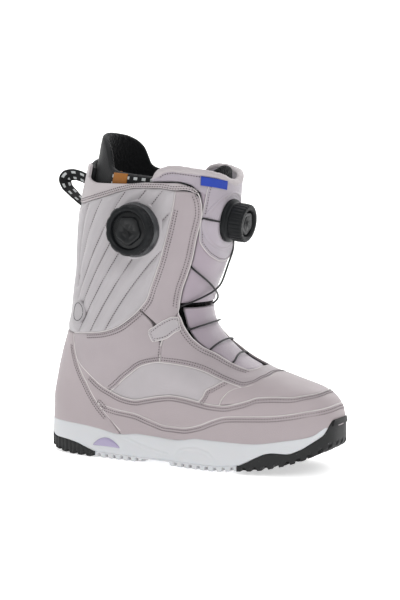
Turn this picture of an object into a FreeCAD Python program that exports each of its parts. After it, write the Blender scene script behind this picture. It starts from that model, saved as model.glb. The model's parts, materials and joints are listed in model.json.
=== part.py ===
import FreeCAD, Part
import math
import os
from FreeCAD import Vector

# Right snowboard boot, in millimetres. +X points to the toe, +Z up, -Y to the outer (lateral) side.
# The origin is on the ground, under the middle of the sole, on the sole's centre line.
# The upper is one master surface: a stack of horizontal outlines. A point on it is (q, z), where
# q * 180 degrees is the direction round the outline: 0 front, -0.5 lateral, +0.5 medial, 1 or -1 back.
# Every panel, lining and liner wall is a patch of that surface with a thickness, given as two
# distances d from the surface, positive outwards.

# ---- driving dimensions -------------------------------------------------------------------------
FRONT = [(10, 134), (28, 137.5), (44, 140), (56, 138.5), (65, 133.5), (70, 126), (75, 111), (80, 94),
         (86, 75), (95, 54.5), (105, 40), (118, 26.5), (131, 18.5), (143, 16), (160, 19.5), (176, 26.5),
         (192, 32.5), (217, 38), (245, 44), (275, 46), (310, 46)]
BACK = [(10, -142), (28, -146), (48, -146), (71, -142), (93, -136), (115, -129), (137, -123.5),
        (160, -120.5), (182, -118), (204, -117), (226, -115.5), (242, -112.5), (267, -106), (310, -96)]
FOOT_LATERAL = [(0, 34), (0.25, 37), (0.45, 40.5), (0.65, 48), (0.8, 50), (1, 47)]
FOOT_MEDIAL = [(0, 34), (0.25, 36), (0.45, 38.5), (0.62, 46), (0.8, 50), (1, 50)]
SHAFT_HALF = [(60, 46), (100, 45), (130, 46.5), (160, 49), (200, 51), (245, 52), (310, 52)]
SQUARE_FRONT = [(28, 3.0), (60, 2.6), (80, 2.4), (110, 2.25), (140, 2.15), (200, 2.25), (310, 2.25)]
SQUARE_BACK = [(28, 3.4), (60, 3.1), (100, 2.6), (140, 2.2), (310, 2.05)]
SHAFT_SHARE = [(28, 0), (50, 0), (130, 1), (310, 1)]
FOOT_SHIFT = 5.0
SHAFT_SHIFT = [(60, -4), (130, -4), (165, -6), (222, -11), (310, -12)]

OUTER = (0.3, 1.9)        # panel layer
TAB = (2.1, 3.1)          # small pieces stitched on the panels
LINING = (-3.0, 0.0)
STIFFENER = (-4.9, -3.6)
LINER = (-11.2, -5.2)
SEAM = 0.25               # half of the gap left between two panels

SOLE_REF_Z = 34.0         # height of the outline that the sole follows
SOLE_STEP = 2.6           # how far the sole stands out past the upper
LUG = 3.6                 # depth of the sole's lugs

DIAL_FRONT = Vector(40.8, -15.0, 223.0)
DIAL_LEAN = 8.0           # degrees that the front dial looks down
DIAL_SIDE = Vector(-32.3, -57.4, 214.8)
FOLD_AXIS = (16.0, 146.0)  # x and z of the line across the ankle on which the tongue folds
LACE_R = 0.9


# ---- curves -------------------------------------------------------------------------------------
def slopes(table):
    """Slopes of a monotone cubic through the table's points."""
    h = [b[0] - a[0] for a, b in zip(table, table[1:])]
    d = [(b[1] - a[1]) / (b[0] - a[0]) for a, b in zip(table, table[1:])]
    m = [d[0]]
    for i in range(1, len(table) - 1):
        if d[i - 1] * d[i] <= 0:
            m.append(0.0)
            continue
        w1, w2 = 2 * h[i] + h[i - 1], h[i] + 2 * h[i - 1]
        m.append((w1 + w2) / (w1 / d[i - 1] + w2 / d[i]))
    return m + [d[-1]]


class Curve:
    """A monotone cubic y(x) through a table of points, held level past its ends."""

    def __init__(self, table):
        self.table = table
        self.m = slopes(table)

    def __call__(self, x):
        t = self.table
        x = min(max(x, t[0][0]), t[-1][0])
        k = 0
        while k < len(t) - 2 and x > t[k + 1][0]:
            k += 1
        h = t[k + 1][0] - t[k][0]
        u = (x - t[k][0]) / h
        return ((2 * u**3 - 3 * u**2 + 1) * t[k][1] + (u**3 - 2 * u**2 + u) * h * self.m[k]
                + (3 * u**2 - 2 * u**3) * t[k + 1][1] + (u**3 - u**2) * h * self.m[k + 1])


front_x, back_x = Curve(FRONT), Curve(BACK)
foot_lateral, foot_medial = Curve(FOOT_LATERAL), Curve(FOOT_MEDIAL)
shaft_half, shaft_share = Curve(SHAFT_HALF), Curve(SHAFT_SHARE)
square_front, square_back = Curve(SQUARE_FRONT), Curve(SQUARE_BACK)
shaft_shift = Curve(SHAFT_SHIFT)


def surface(q, z):
    """The master surface: a super-ellipse of (q, z), sheared towards the big toe in front."""
    xf, xb = front_x(z), back_x(z)
    c, s = math.cos(math.pi * q), math.sin(math.pi * q)
    n = square_front(z) if c > 0 else square_back(z)
    r = (abs(c)**n + abs(s)**n)**(-1 / n)
    a = (1 + r * c) / 2
    w = shaft_share(z)
    foot = foot_lateral(a) if s < 0 else foot_medial(a)
    half = (1 - w) * foot + w * shaft_half(z)
    centre = (FOOT_SHIFT * (1 - w) + shaft_shift(z) * w) * a * a
    return Vector(xb + (xf - xb) * a, half * r * s + centre, z)


def shifted(q, z, d):
    """The point of the master surface at (q, z), moved out by d along the surface's normal."""
    p = surface(q, z)
    along = surface(q + 1e-3, z) - surface(q - 1e-3, z)
    up = surface(q, z + 0.25) - surface(q, z - 0.25)
    n = along.cross(up)
    return p + n * (d / n.Length)


def at(x, z, side=-1):
    """(q, z) of the surface point with this x and z; side is -1 lateral, +1 medial."""
    xf, xb = front_x(z), back_x(z)
    c = min(max((2 * x - xf - xb) / (xf - xb), -1), 1)
    n = square_front(z) if c > 0 else square_back(z)
    s = (1 - abs(c)**n)**(1 / n)
    return (side * math.atan2(s, c) / math.pi, z)


def lateral(points):
    return [at(x, z) for x, z in points]


def mirrored(curve):
    return [(-q, z) for q, z in curve]


def behind(curve):
    """The medial twin of a lateral curve, with q counted on past the back, below -1."""
    return [(-2 - q, z) for q, z in curve]


Q_MM = 220.0              # rough millimetres for one unit of q, used only to space points


def smooth(points, count):
    """count + 1 points, evenly spaced, on a monotone cubic through the points."""
    run = [0.0]
    for a, b in zip(points, points[1:]):
        run.append(run[-1] + max(math.hypot((b[0] - a[0]) * Q_MM, b[1] - a[1]), 1e-3))
    if len(points) == 2:
        along = [lambda t, k=k: points[0][k] + (points[1][k] - points[0][k]) * t / run[1] for k in (0, 1)]
    else:
        along = [Curve([(t, p[k]) for t, p in zip(run, points)]) for k in (0, 1)]
    return [(along[0](run[-1] * i / count), along[1](run[-1] * i / count)) for i in range(count + 1)]


def value(polyline, t):
    """The point at share t of an evenly spaced polyline."""
    s = min(max(t, 0), 1) * (len(polyline) - 1)
    k = min(int(s), len(polyline) - 2)
    f = s - k
    return tuple(a + (b - a) * f for a, b in zip(polyline[k], polyline[k + 1]))


# ---- solids -------------------------------------------------------------------------------------
def blend(bottom, top, left, right, u, v):
    """A Coons patch: the point at (u, v) between four edge polylines."""
    b, t, l, r = value(bottom, u), value(top, u), value(left, v), value(right, v)
    out = []
    for k in range(len(b)):
        flat = ((1 - u) * (1 - v) * bottom[0][k] + u * (1 - v) * bottom[-1][k]
                + (1 - u) * v * top[0][k] + u * v * top[-1][k])
        out.append((1 - v) * b[k] + v * t[k] + (1 - u) * l[k] + u * r[k] - flat)
    return out


def stations(count):
    """count shares from 0 to 1 at which a clamped cubic spline with count poles is fixed."""
    spans = count - 3
    knot = [0] * 3 + list(range(spans + 1)) + [spans] * 3
    return [(knot[i + 1] + knot[i + 2] + knot[i + 3]) / 3.0 / spans for i in range(count)]


def weights(count, u):
    """The four cubic basis values that are not zero at parameter u, and the first one's index."""
    spans = count - 3
    knot = [0.0] * 3 + [float(i) for i in range(spans + 1)] + [float(spans)] * 3
    k = min(int(u), spans - 1) + 3
    basis = [1.0]
    for degree in (1, 2, 3):
        grown = [0.0] * (degree + 1)
        for j in range(degree):
            left, right = knot[k - degree + 1 + j], knot[k + 1 + j]
            share = (u - left) / (right - left)
            grown[j] += basis[j] * (1 - share)
            grown[j + 1] += basis[j] * share
        basis = grown
    return basis, k - 3


BAND = 3                  # a cubic spline's matrix has this many places beside its diagonal
factors = {}


def factored(count):
    """The spline's collocation matrix, eliminated once; the multipliers stay below the diagonal."""
    if count not in factors:
        rows = []
        for share in stations(count):
            basis, first = weights(count, share * (count - 3))
            row = [0.0] * count
            row[first:first + 4] = basis
            rows.append(row)
        for k in range(count):
            for i in range(k + 1, min(k + 1 + BAND, count)):
                rows[i][k] /= rows[k][k]
                for j in range(k + 1, min(k + 1 + BAND, count)):
                    rows[i][j] -= rows[i][k] * rows[k][j]
        factors[count] = rows
    return factors[count]


def poles(points):
    """Poles of the cubic spline that passes through the points at its stations."""
    n, m = len(points), factored(len(points))
    out = list(points)
    for i in range(n):
        for k in range(max(0, i - BAND), i):
            out[i] = out[i] - out[k] * m[i][k]
    for i in range(n - 1, -1, -1):
        for k in range(i + 1, min(i + 1 + BAND, n)):
            out[i] = out[i] - out[k] * m[i][k]
        out[i] = out[i] * (1 / m[i][i])
    return out


def face_of(grid):
    """The cubic surface through a grid of points that were taken at the stations."""
    across_rows = [poles(row) for row in grid]
    columns = [poles(list(column)) for column in zip(*across_rows)]
    net = [list(row) for row in zip(*columns)]
    marks = []
    for count in (len(net), len(net[0])):
        marks.append(([4] + [1] * (count - 4) + [4], [float(i) for i in range(count - 2)]))
    sheet = Part.BSplineSurface()
    sheet.buildFromPolesMultsKnots(net, marks[0][0], marks[1][0], marks[0][1], marks[1][1],
                                   False, False, 3, 3)
    return sheet


def slab(inner, outer):
    """A closed solid between two grids of points of the same size, with ruled sides."""
    low, high = face_of(inner), face_of(outer)
    (u0, u1, v0, v1) = low.bounds()
    (s0, s1, t0, t1) = high.bounds()
    pairs = [(low.uIso(u0), high.uIso(s0)), (low.uIso(u1), high.uIso(s1)),
             (low.vIso(v0), high.vIso(t0)), (low.vIso(v1), high.vIso(t1))]
    faces = [low.toShape(), high.toShape()]
    faces += [Part.makeRuledSurface(a.toShape(), b.toShape(), 1) for a, b in pairs]
    shell = Part.Compound(faces)
    shell.sewShape()
    solid = Part.Solid(shell.Shells[0])
    if solid.Volume < 0:
        solid = Part.Solid(solid.reversed().Shells[0])
    return solid


def length(points):
    return sum((b - a).Length for a, b in zip(points, points[1:]))


def panel(bottom, top, depth, left=None, right=None, nu=14, nv=8, gap=SEAM):
    """A patch of the master surface between four edges, as a solid from depth[0] to depth[1]."""
    bottom, top = smooth(bottom, 60), smooth(top, 60)
    left = smooth(left or [bottom[0], top[0]], 40)
    right = smooth(right or [bottom[-1], top[-1]], 40)
    edges = (bottom, top, left, right)

    def at_share(u, v):
        return surface(*blend(*edges, u, v))

    wide = [length([at_share(i / 8.0, v) for i in range(9)]) for v in (0.02, 0.5, 0.98)]
    tall = [length([at_share(u, i / 8.0) for i in range(9)]) for u in (0.02, 0.5, 0.98)]

    def inset(lengths, t):
        near = lengths[0] + (lengths[1] - lengths[0]) * 2 * t
        far = lengths[1] + (lengths[2] - lengths[1]) * (2 * t - 1)
        return min(gap / max(near if t < 0.5 else far, 1e-6), 0.2)

    grids = ([], [])
    for u in stations(nu):
        rows = ([], [])
        for v in stations(nv):
            eu, ev = inset(wide, v), inset(tall, u)
            q, z = blend(*edges, eu + u * (1 - 2 * eu), ev + v * (1 - 2 * ev))
            for k in (0, 1):
                rows[k].append(shifted(q, z, depth[k]))
        for k in (0, 1):
            grids[k].append(rows[k])
    return slab(*grids)


def tube(points, radius, bend=0.45):
    """A round tube on straight runs joined by tangent arcs."""
    edges, start, radii = [], points[0], []
    for a, b, c in zip(points, points[1:], points[2:]):
        t1, t2 = (a - b).normalize(), (c - b).normalize()
        half = t1.getAngle(t2) / 2
        run = bend * min((b - a).Length, (c - b).Length)
        p1, p2 = b + t1 * run, b + t2 * run
        mid = (t1 + t2).normalize()
        r = run * math.tan(half)
        radii.append(r)
        centre = b + mid * (r / math.sin(half))
        edges.append(Part.LineSegment(start, p1).toShape())
        edges.append(Part.Arc(p1, centre - mid * r, p2).toShape())
        start = p2
    edges.append(Part.LineSegment(start, points[-1]).toShape())
    wire = Part.Wire(edges)
    print(f"tube {wire.Length:.0f} mm long, smallest bend radius {min(radii):.1f} mm")
    circle = Part.Wire([Part.Circle(points[0], points[1] - points[0], radius).toShape()])
    return wire.makePipeShell([circle], True, False)


def turned(profile, origin, axis):
    """A solid of revolution: profile is (radius, height) points along axis from origin."""
    poly = [Vector(r, 0, h) for r, h in profile]
    face = Part.Face(Part.makePolygon(poly + [poly[0]]))
    solid = face.revolve(Vector(0, 0, 0), Vector(0, 0, 1), 360)
    solid.Placement = FreeCAD.Placement(origin, FreeCAD.Rotation(Vector(0, 0, 1), axis))
    return solid


def save(node, shapes):
    shapes = shapes if isinstance(shapes, list) else [shapes]
    shape = shapes[0] if len(shapes) == 1 else Part.makeCompound(shapes)
    solids = shape.Solids
    good = all(s.isValid() and s.Volume > 0 for s in solids)
    print(f"{node:24s} {len(solids):3d} solids {shape.Volume / 1000:9.2f} cm3 {'ok' if good else 'BAD'}")
    shape.exportStep(f"parts/{node}.step")


# ---- lines on the boot --------------------------------------------------------------------------
SOLE_TOP = [(-146, 31), (-110, 30), (-84, 28), (-61, 24.5), (-40, 26.5), (0, 25), (25, 28.5),
            (75, 28), (107, 32), (127, 36), (136, 43)]
sole_top = Curve(SOLE_TOP)
RAND_LINE = [(-86, 51.5), (-65, 47), (-45, 45), (-26, 40), (-10, 36.5), (7, 36.5), (24, 40), (40, 46.5),
             (53, 50.5), (73, 52), (93, 53), (109, 55), (123, 57.5)]
BAND_LINE = [(-107, 91), (-93, 77.5), (-81, 68.5), (-70, 63.5), (-57, 59), (-45, 57.5), (-32, 60),
             (-18, 63), (-3, 65), (12, 64), (26, 62), (37, 60.5), (49, 60), (62, 62.5), (72, 65.5),
             (82, 68.5), (95, 69), (107, 68.5), (117, 69.5)]
COUNTER_LINE = [(-58.5, 27), (-73, 39.5), (-86, 52), (-98.5, 71), (-107, 91), (-110, 104), (-111, 115)]
QUILT_FOOT = [(-111, 115), (-94, 117), (-75, 119.5), (-57, 125), (-43, 134), (-33, 143)]
QUILT_FRONT = [(-33, 143), (-24.6, 154), (-13.5, 180), (-6.8, 198), (-0.6, 218), (3.6, 234), (6.4, 250)]
QUILT_TOP = [(-101, 236), (-87, 239), (-66, 244), (-47, 249), (-30, 252), (-7, 252), (6.4, 250)]
COLLAR_EDGE = [(-91, 271), (-93, 262), (-87, 257), (-78, 255.5), (-44, 255.5), (-20, 257), (6, 257),
               (19, 254)]
THROAT = [(19, 254), (24.4, 249), (26.6, 242), (25.9, 226), (20, 204), (13.4, 182.5), (8.4, 171),
          (0.4, 146), (-0.6, 140)]
THROAT_LOW = [(-0.6, 140), (2, 133), (5, 126), (12, 116.5), (21, 109), (34.5, 101.5), (48.5, 93.5),
              (56, 90.3), (62, 88.3)]
VAMP_LINE = [(-71, 63.5), (-58, 73.5), (-44, 84), (-31, 91.5), (-14, 95), (0, 94), (18.5, 91), (33, 86.5),
             (43, 82.5), (54, 79), (65, 76)]
TOE_LINE = [(65, 76), (73.5, 78), (79, 82)]
RIM_HEIGHT = [(0, 259.5), (0.05, 260.8), (0.14, 265.8), (0.24, 269.4), (0.3, 271.2), (0.36, 272.5),
              (0.4, 270.5), (0.42, 267), (0.438, 262.4)]

rand_line, band_line = lateral(RAND_LINE), lateral(BAND_LINE)
counter_line = lateral(COUNTER_LINE)
quilt_foot, quilt_front, quilt_top = lateral(QUILT_FOOT), lateral(QUILT_FRONT), lateral(QUILT_TOP)
throat, throat_low = lateral(THROAT), lateral(THROAT_LOW)
vamp_line, toe_line = lateral(VAMP_LINE), lateral(TOE_LINE)
BOTH = ((1, "lateral"), (-1, "medial"))


def side_of(curve, sign):
    return [(sign * q, z) for q, z in curve]


def across(curve, middle):
    """A lateral curve carried over the front centre point and down its medial twin."""
    return curve + [middle] + mirrored(curve)[::-1]


def low_edge(q0, q1, count, lift):
    """Points along the top of the sole from q0 to q1, raised by lift."""
    out = []
    for i in range(count + 1):
        q = q0 + (q1 - q0) * i / count
        z = sole_top(surface(q, 32).x) + lift
        out.append((q, z))
    return out


# ---- upper --------------------------------------------------------------------------------------
def outer_panels():
    toe_q = at(-58.5, 27)[0]
    foot = low_edge(toe_q, -toe_q, 24, 1.4)
    rand_top = across([at(-77, 43.5)] + rand_line, (0, 60.5))
    save("lower_rand", panel(foot, rand_top, OUTER, nu=44, nv=4))
    band_top = across(band_line, (0, 70.5))
    band_low = across([at(-106.4, 89)] + [at(-97, 68)] + rand_line, (0, 60.5))
    save("upper_band", panel(band_low, band_top, OUTER, nu=48, nv=4))
    heel_foot = low_edge(toe_q, -2 - toe_q, 16, 0.6)
    heel_top = lateral([(-111, 115)]) + [(-1, 116)] + behind(lateral([(-111, 115)]))
    save("heel_counter", panel(heel_foot, heel_top, OUTER, left=counter_line,
                               right=behind(counter_line), nu=28, nv=12, gap=0.8))
    toe_rear = lateral([(46, 60.3), (48.6, 65.5), (53.5, 71.5), (59, 74.6), (65, 76)])
    toe_foot = across(lateral([(46, 60.3), (62, 62.5), (72, 65.5), (82, 68.5), (95, 69), (107, 68.5),
                               (117, 69.5)]), (0, 70.5))
    save("toe_box", panel(toe_foot, across(toe_line, (0, 84.3)), OUTER, left=toe_rear,
                          right=mirrored(toe_rear), nu=36, nv=8))
    seam = lateral([(-13, 95), (-12.5, 112), (-8, 126), (-0.6, 140)])
    save("vamp", panel(across(lateral(VAMP_LINE[4:] + [(73.5, 79), (79, 83.2)]), (0, 85.5)),
                       across(throat_low, (0, 89.3)), OUTER, left=seam, right=mirrored(seam),
                       nu=44, nv=6))
    insert_front = lateral([(25, 62), (32.5, 71.8), (41.6, 77.2), (47.8, 80.8)])
    wing_foot = lateral([(25, 62), (37, 60.5), (46, 60.3)])
    wing_top = lateral([(47.8, 80.8), (54, 79), (65, 76)])
    insert_foot = lateral([(-69, 63.1)] + BAND_LINE[4:11])
    insert_top = lateral([(-69, 65)] + VAMP_LINE[1:9] + [(47.8, 80.8)])
    save("vamp_wings", [panel(side_of(wing_foot, s), side_of(wing_top, s), OUTER, nu=6, nv=6,
                              left=side_of(insert_front, s), right=side_of(toe_rear, s))
                        for s, _ in BOTH])
    quarter_foot = lateral([(-106.6, 92), (-93, 77.5), (-81, 69.5), (-70, 66)] + VAMP_LINE[1:4]
                           + [(-14.3, 95)])
    quarter_front = lateral([(-14.3, 95), (-13.8, 112), (-21, 127.5), (-33, 142)])
    eyestay_foot = lateral([(-33, 142), (-20, 130.5), (-14, 125.5), (-8, 128.5), (-0.6, 140)])
    eyestay_top = lateral([(6.4, 249), (14, 249.3), (22, 248.6)])
    for sign, side in BOTH:
        save(f"side_textile_{side}", panel(side_of(insert_foot, sign), side_of(insert_top, sign),
                                           OUTER, right=side_of(insert_front, sign), nu=20, nv=6))
        save(f"quarter_{side}", panel(side_of(quarter_foot, sign), side_of(quilt_foot, sign), OUTER,
                                      right=side_of(quarter_front, sign), nu=20, nv=8))
        save(f"eyestay_{side}", panel(side_of(eyestay_foot, sign), side_of(eyestay_top, sign), OUTER,
                                      left=side_of(quilt_front, sign),
                                      right=side_of(throat[::-1][:-2] + eyestay_top[-1:], sign),
                                      nu=10, nv=22))


def cuff():
    back_edge = [(-0.975, 116), (-0.975, 160), (-0.975, 200), (-0.975, 234)]
    foot = [(-0.975, 116)] + quilt_foot
    top = [(-0.975, 234)] + quilt_top
    for sign, side in BOTH:
        save(f"quilted_cuff_{side}", panel(side_of(foot, sign), side_of(top, sign), OUTER,
                                           left=side_of(back_edge, sign),
                                           right=side_of(quilt_front, sign), nu=18, nv=18))
    save("backstay", panel([(-0.976, 116), (-1.024, 116)], [(-0.976, 234), (-1.024, 234)], OUTER,
                           nu=4, nv=16))
    low = lateral([(25.5, 246.5), (15, 250.8), (6.4, 250.3)]) + quilt_top[::-1][1:] + [(-0.975, 234.2)]
    low = low + behind(low)[::-1]
    high = lateral(COLLAR_EDGE[::-1]) + [(-1, 272.5)]
    high = high + behind(high[:-1])[::-1]
    save("cuff_collar", panel(low, high, (0.3, 2.3), nu=56, nv=5))
    save("side_dial_plate", seat_plate((-0.62, -0.35), (182.5, 249), DIAL_SIDE, Vector(0, -1, 0), 2.4, 2.9,
                                       25.4))
    badge = []
    for sign, _ in BOTH:
        ring = [(sign * (-0.735 + 0.052 * math.cos(a)), 135.5 + 10.5 * math.sin(a))
                for a in [math.pi * i / 12 for i in range(25)]]
        badge.append(panel(ring[15:22], ring[3:10][::-1], TAB, left=ring[9:16][::-1],
                           right=ring[21:] + ring[1:4], nu=8, nv=8))
    save("cuff_badges", badge)
    tab_foot = lateral([(-25, 121), (-21, 113.5), (-10, 116), (-2, 122), (2, 125)])
    tab_top = lateral([(-25, 122.5), (-19, 127.5), (-11, 133), (-4, 136), (-0.5, 135)])
    save("ankle_tabs", [panel(side_of(tab_foot, s), side_of(tab_top, s), TAB, nu=12, nv=6)
                        for s, _ in BOTH])


def linings():
    """The stiff inner layer under the panels. It stops short of the throat, to leave lace room."""
    toe = low_edge(-0.27, 0.27, 16, 0.6)
    rim = across(lateral([(50, 84), (62, 81.5)]), (0, 82))
    save("lining_toe", panel(toe, rim, LINING, nu=28, nv=10))
    for sign, side in BOTH:
        foot = side_of(low_edge(-0.62, -0.272, 10, 0.6), sign)
        rim = side_of(lateral([(-40, 116), (-15, 112), (5, 104), (20, 97), (35, 90), (49, 84.3)]), sign)
        save(f"lining_{side}", panel(foot, rim, LINING, nu=18, nv=12))
        low = side_of([(-0.985, 118)] + lateral([(-90, 118), (-60, 117.5), (-40, 116.6), (-15, 112.6)]),
                      sign)
        high = side_of([(-0.985, 236)] + lateral([(-90, 240), (-47, 250), (-20, 252), (8, 250)]), sign)
        front = side_of(lateral([(-15, 112.6), (-12, 140), (-4, 170), (6, 204), (12, 225), (8, 250)]),
                        sign)
        save(f"lining_cuff_{side}", panel(low, high, LINING, right=front, nu=18, nv=18))
    heel = low_edge(-0.622, -1.378, 16, 0.6)
    rim = lateral([(-40.7, 115.8), (-60, 117), (-90, 117.4)]) + [(-1, 117.4)]
    rim = rim + behind(rim[:-1])[::-1]
    save("lining_heel", panel(heel, rim, LINING, nu=26, nv=10))
    save("collar_padding", panel([(-0.8, 241.5), (-1.0, 237.5), (-1.2, 241.5)],
                                 [(-0.8, 269), (-1.0, 277), (-1.2, 269)], (-5.0, -0.2), nu=14, nv=6))
    save("toe_puff", panel(low_edge(-0.2, 0.2, 12, 6), across(lateral([(72, 76)]), (0, 77.5)),
                           STIFFENER, nu=20, nv=6))
    save("heel_stiffener", panel(low_edge(-0.75, -1.25, 12, 6), [(-0.8, 100), (-1, 104), (-1.2, 100)],
                                 STIFFENER, nu=20, nv=8))


def tongue():
    """Lower tongue, sewn in over the instep, and the upper tongue that folds at the ankle."""
    side_low = lateral([(4, 143.5), (6, 133), (8.5, 126), (15, 116.5), (24, 109), (37.5, 101.3),
                        (50.5, 93.8), (57, 91.2)])
    low_top = [side_low[0], (0, 143.5), (-side_low[0][0], side_low[0][1])]
    save("tongue_lower", panel([side_low[-1], (0, 91.0), (-side_low[-1][0], 91.2)], low_top, (-4.0, -1.0),
                               left=side_low[::-1], right=mirrored(side_low[::-1]), nu=14, nv=16))
    edge = lateral([(4.4, 147.5), (11.3, 170), (16.3, 182), (23, 204), (28.7, 225), (29.6, 242)])
    foot = [edge[0], (0, 147.5), (-edge[0][0], 147.5)]
    head = [edge[-1], (0, 242), (-edge[-1][0], 242)]
    save("tongue_panel", panel(foot, head, (-3.4, -0.6), left=edge, right=mirrored(edge), nu=14, nv=18))
    save("tongue_padding", panel([(-0.16, 150), (0.16, 150)], [(-0.17, 240), (0.17, 240)], (-8.6, -3.7),
                                 nu=8, nv=14))
    wing_low = lateral([(-16.5, 258.6), (6, 258.8), (20.5, 256), (27, 250.4)]) + [(-0.17, 243.6)]
    wing_low = wing_low + [(0, 242.8)] + mirrored(wing_low)[::-1]
    rim = [(-q, z) for q, z in RIM_HEIGHT[::-1]] + RIM_HEIGHT[1:]
    crown = [(q, z - 3.4) for q, z in rim]
    save("tongue_collar", panel(wing_low, crown, (-4.8, 0.4), nu=36, nv=5))
    save("tongue_binding", panel([(q, z + 0.3) for q, z in crown], rim, (-4.8, 1.4), nu=36, nv=4))
    save("tongue_dial_plate", seat_plate((-0.172, 0.118), (192, 241), DIAL_FRONT, dial_axis(), -0.4, 1.0,
                                         21.0))
    save("tongue_label", panel([(-0.236, 255), (-0.16, 252.8), (-0.092, 250.6)],
                               [(-0.238, 263.4), (-0.16, 261), (-0.09, 258.8)], (0.6, 1.6), nu=8, nv=4))


def seat_plate(q_range, z_range, origin, axis, base, skin, radius):
    """A padded plate on the surface, raised to a flat seat for a dial within the radius.

    The rise dies out towards the plate's left and right edges.
    """
    fall = 5.5
    grids = ([], [])
    for u in stations(22):
        rows = ([], [])
        for v in stations(24):
            q = q_range[0] + (q_range[1] - q_range[0]) * u
            z = z_range[0] + (z_range[1] - z_range[0]) * v
            p = shifted(q, z, skin)
            off = p - origin
            height = off.dot(axis)
            share = min(max((radius + fall - (off - axis * height).Length) / fall, 0), 1)
            share = share * share * (3 - 2 * share) * min(7 * min(u, 1 - u), 1)
            rows[0].append(shifted(q, z, base))
            rows[1].append(p + axis * ((-0.3 - height) * share))
        for k in (0, 1):
            grids[k].append(rows[k])
    return slab(*grids)


def pull_loop():
    """Webbing strap on edge: out from the top of the back seam, folded, and back lower down."""
    path = [(-118, 257), (-124, 259.5), (-133, 261), (-141, 260), (-145, 255.5), (-143, 250), (-136, 244.5),
            (-127, 238), (-119, 232)]
    run = [0.0]
    for a, b in zip(path, path[1:]):
        run.append(run[-1] + math.hypot(b[0] - a[0], b[1] - a[1]))
    along = [Curve([(t, p[k]) for t, p in zip(run, path)]) for k in (0, 1)]
    grids = ([], [])
    for share in stations(26):
        t = share * run[-1]
        dx, dz = [c(min(t + 0.5, run[-1])) - c(max(t - 0.5, 0)) for c in along]
        size = math.hypot(dx, dz)
        for k, d in enumerate((-0.8, 0.8)):
            x, z = along[0](t) - dz / size * d, along[1](t) + dx / size * d
            grids[k].append([Vector(x, -6.5 + 13 * w, z) for w in stations(4)])
    save("pull_loop", slab(*grids))


# ---- liner --------------------------------------------------------------------------------------
def liner():
    for sign, side in BOTH:
        foot = side_of(low_edge(-0.02, -0.965, 22, 9.5), sign)
        rim = side_of([(-0.02, 80)] + lateral([(60, 82), (40, 90), (15, 108), (-10, 122), (-40, 124),
                                               (-80, 124)]) + [(-0.965, 124)], sign)
        save(f"liner_foot_{side}", panel(foot, rim, LINER, nu=34, nv=10))
    low = [(-0.36, 125.5), (-0.6, 125), (-0.8, 124.8), (-1, 124.8)]
    high = [(-0.3, 255), (-0.36, 258), (-0.45, 262), (-0.55, 264.5), (-0.63, 267), (-0.675, 271),
            (-0.7, 279), (-0.73, 288), (-0.79, 296), (-0.87, 300.5), (-1, 302.5)]
    front = [(-0.36, 125.5), (-0.34, 160), (-0.31, 200), (-0.3, 255)]
    back = [(-1, 124.8), (-1, 180), (-1, 240), (-1, 302.5)]
    save("liner_cuff", [panel(side_of(low, sign), side_of(high, sign), LINER, left=side_of(front, sign),
                              right=side_of(back, sign), nu=24, nv=20) for sign, side in BOTH])
    save("liner_tongue", panel([(-0.21, 108), (0, 106), (0.21, 108)], [(-0.2, 263), (0, 272), (0.2, 263)],
                               (-14.5, -9.5), nu=10, nv=20))
    save("liner_patch", panel([(-0.72, 259), (-0.63, 259)], [(-0.72, 267), (-0.63, 267)],
                              (-12.6, -11.5), nu=4, nv=4))


# ---- sole unit ----------------------------------------------------------------------------------
def sole_point(q, step):
    """A plan point of the sole's outline, step millimetres outside the upper."""
    p = surface(q, SOLE_REF_Z)
    t = surface(q + 1e-3, SOLE_REF_Z) - surface(q - 1e-3, SOLE_REF_Z)
    n = Vector(t.y, -t.x, 0).normalize()
    return (p.x + n.x * step, p.y + n.y * step)


def plan_grid(q_back, q_front, step, nu=30, nv=10):
    """Plan points of the outline between two cuts across the sole; a cut at 1 or 0 is a rounded end.

    The round ends are outline arcs, and the cut ends are straight across.
    """
    round_heel, round_toe = q_back > 0.92, q_front < 0.08
    qb = min(q_back, 0.92)
    qf = max(q_front, 0.08)
    lat = [sole_point(-qb + (qb - qf) * i / 60, step) for i in range(61)]
    med = [sole_point(qb - (qb - qf) * i / 60, step) for i in range(61)]
    if round_heel:
        heel = [sole_point(-qb - (2 - 2 * qb) * i / 30, step) for i in range(31)]
    else:
        heel = smooth([lat[0], med[0]], 30)
    if round_toe:
        toe = [sole_point(-qf + 2 * qf * i / 30, step) for i in range(31)]
    else:
        toe = smooth([lat[-1], med[-1]], 30)
    return [[blend(lat, med, heel, toe, u, v) for v in stations(nv)] for u in stations(nu)]


def raised(grid, height):
    return [[Vector(x, y, height(x)) for x, y in row] for row in grid]


SOLE_FOOT = [(-149, 7), (-140, 3), (-125, 0.6), (-112, 0), (40, 0), (60, 2), (82, 4), (97, 7), (115, 12),
             (125, 16), (134, 21), (143, 27)]
HEEL_RUBBER = [(-149, 21), (-138, 14), (-122, 13), (-110, 11.2), (-100, 8.4), (-90, 5.4)]
TOE_RUBBER = [(66, 7.6), (73, 11), (82, 16), (90, 19.6), (96, 20.6), (108, 20), (118, 23.5), (127, 29.5),
              (135, 36), (143, 44)]
sole_foot, heel_rubber, toe_rubber = Curve(SOLE_FOOT), Curve(HEEL_RUBBER), Curve(TOE_RUBBER)
HEEL_CUT, TOE_CUT = -88.0, 64.0
PLATE = 1.7               # thickness of the rubber above the lugs, in the middle of the sole


def q_of_x(x):
    return abs(at(x, SOLE_REF_Z)[0])


def tread_top(x):
    """Underside of the white midsole."""
    if x < HEEL_CUT:
        return heel_rubber(x)
    if x > TOE_CUT:
        return toe_rubber(x)
    return sole_foot(x) + LUG + PLATE


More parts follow.
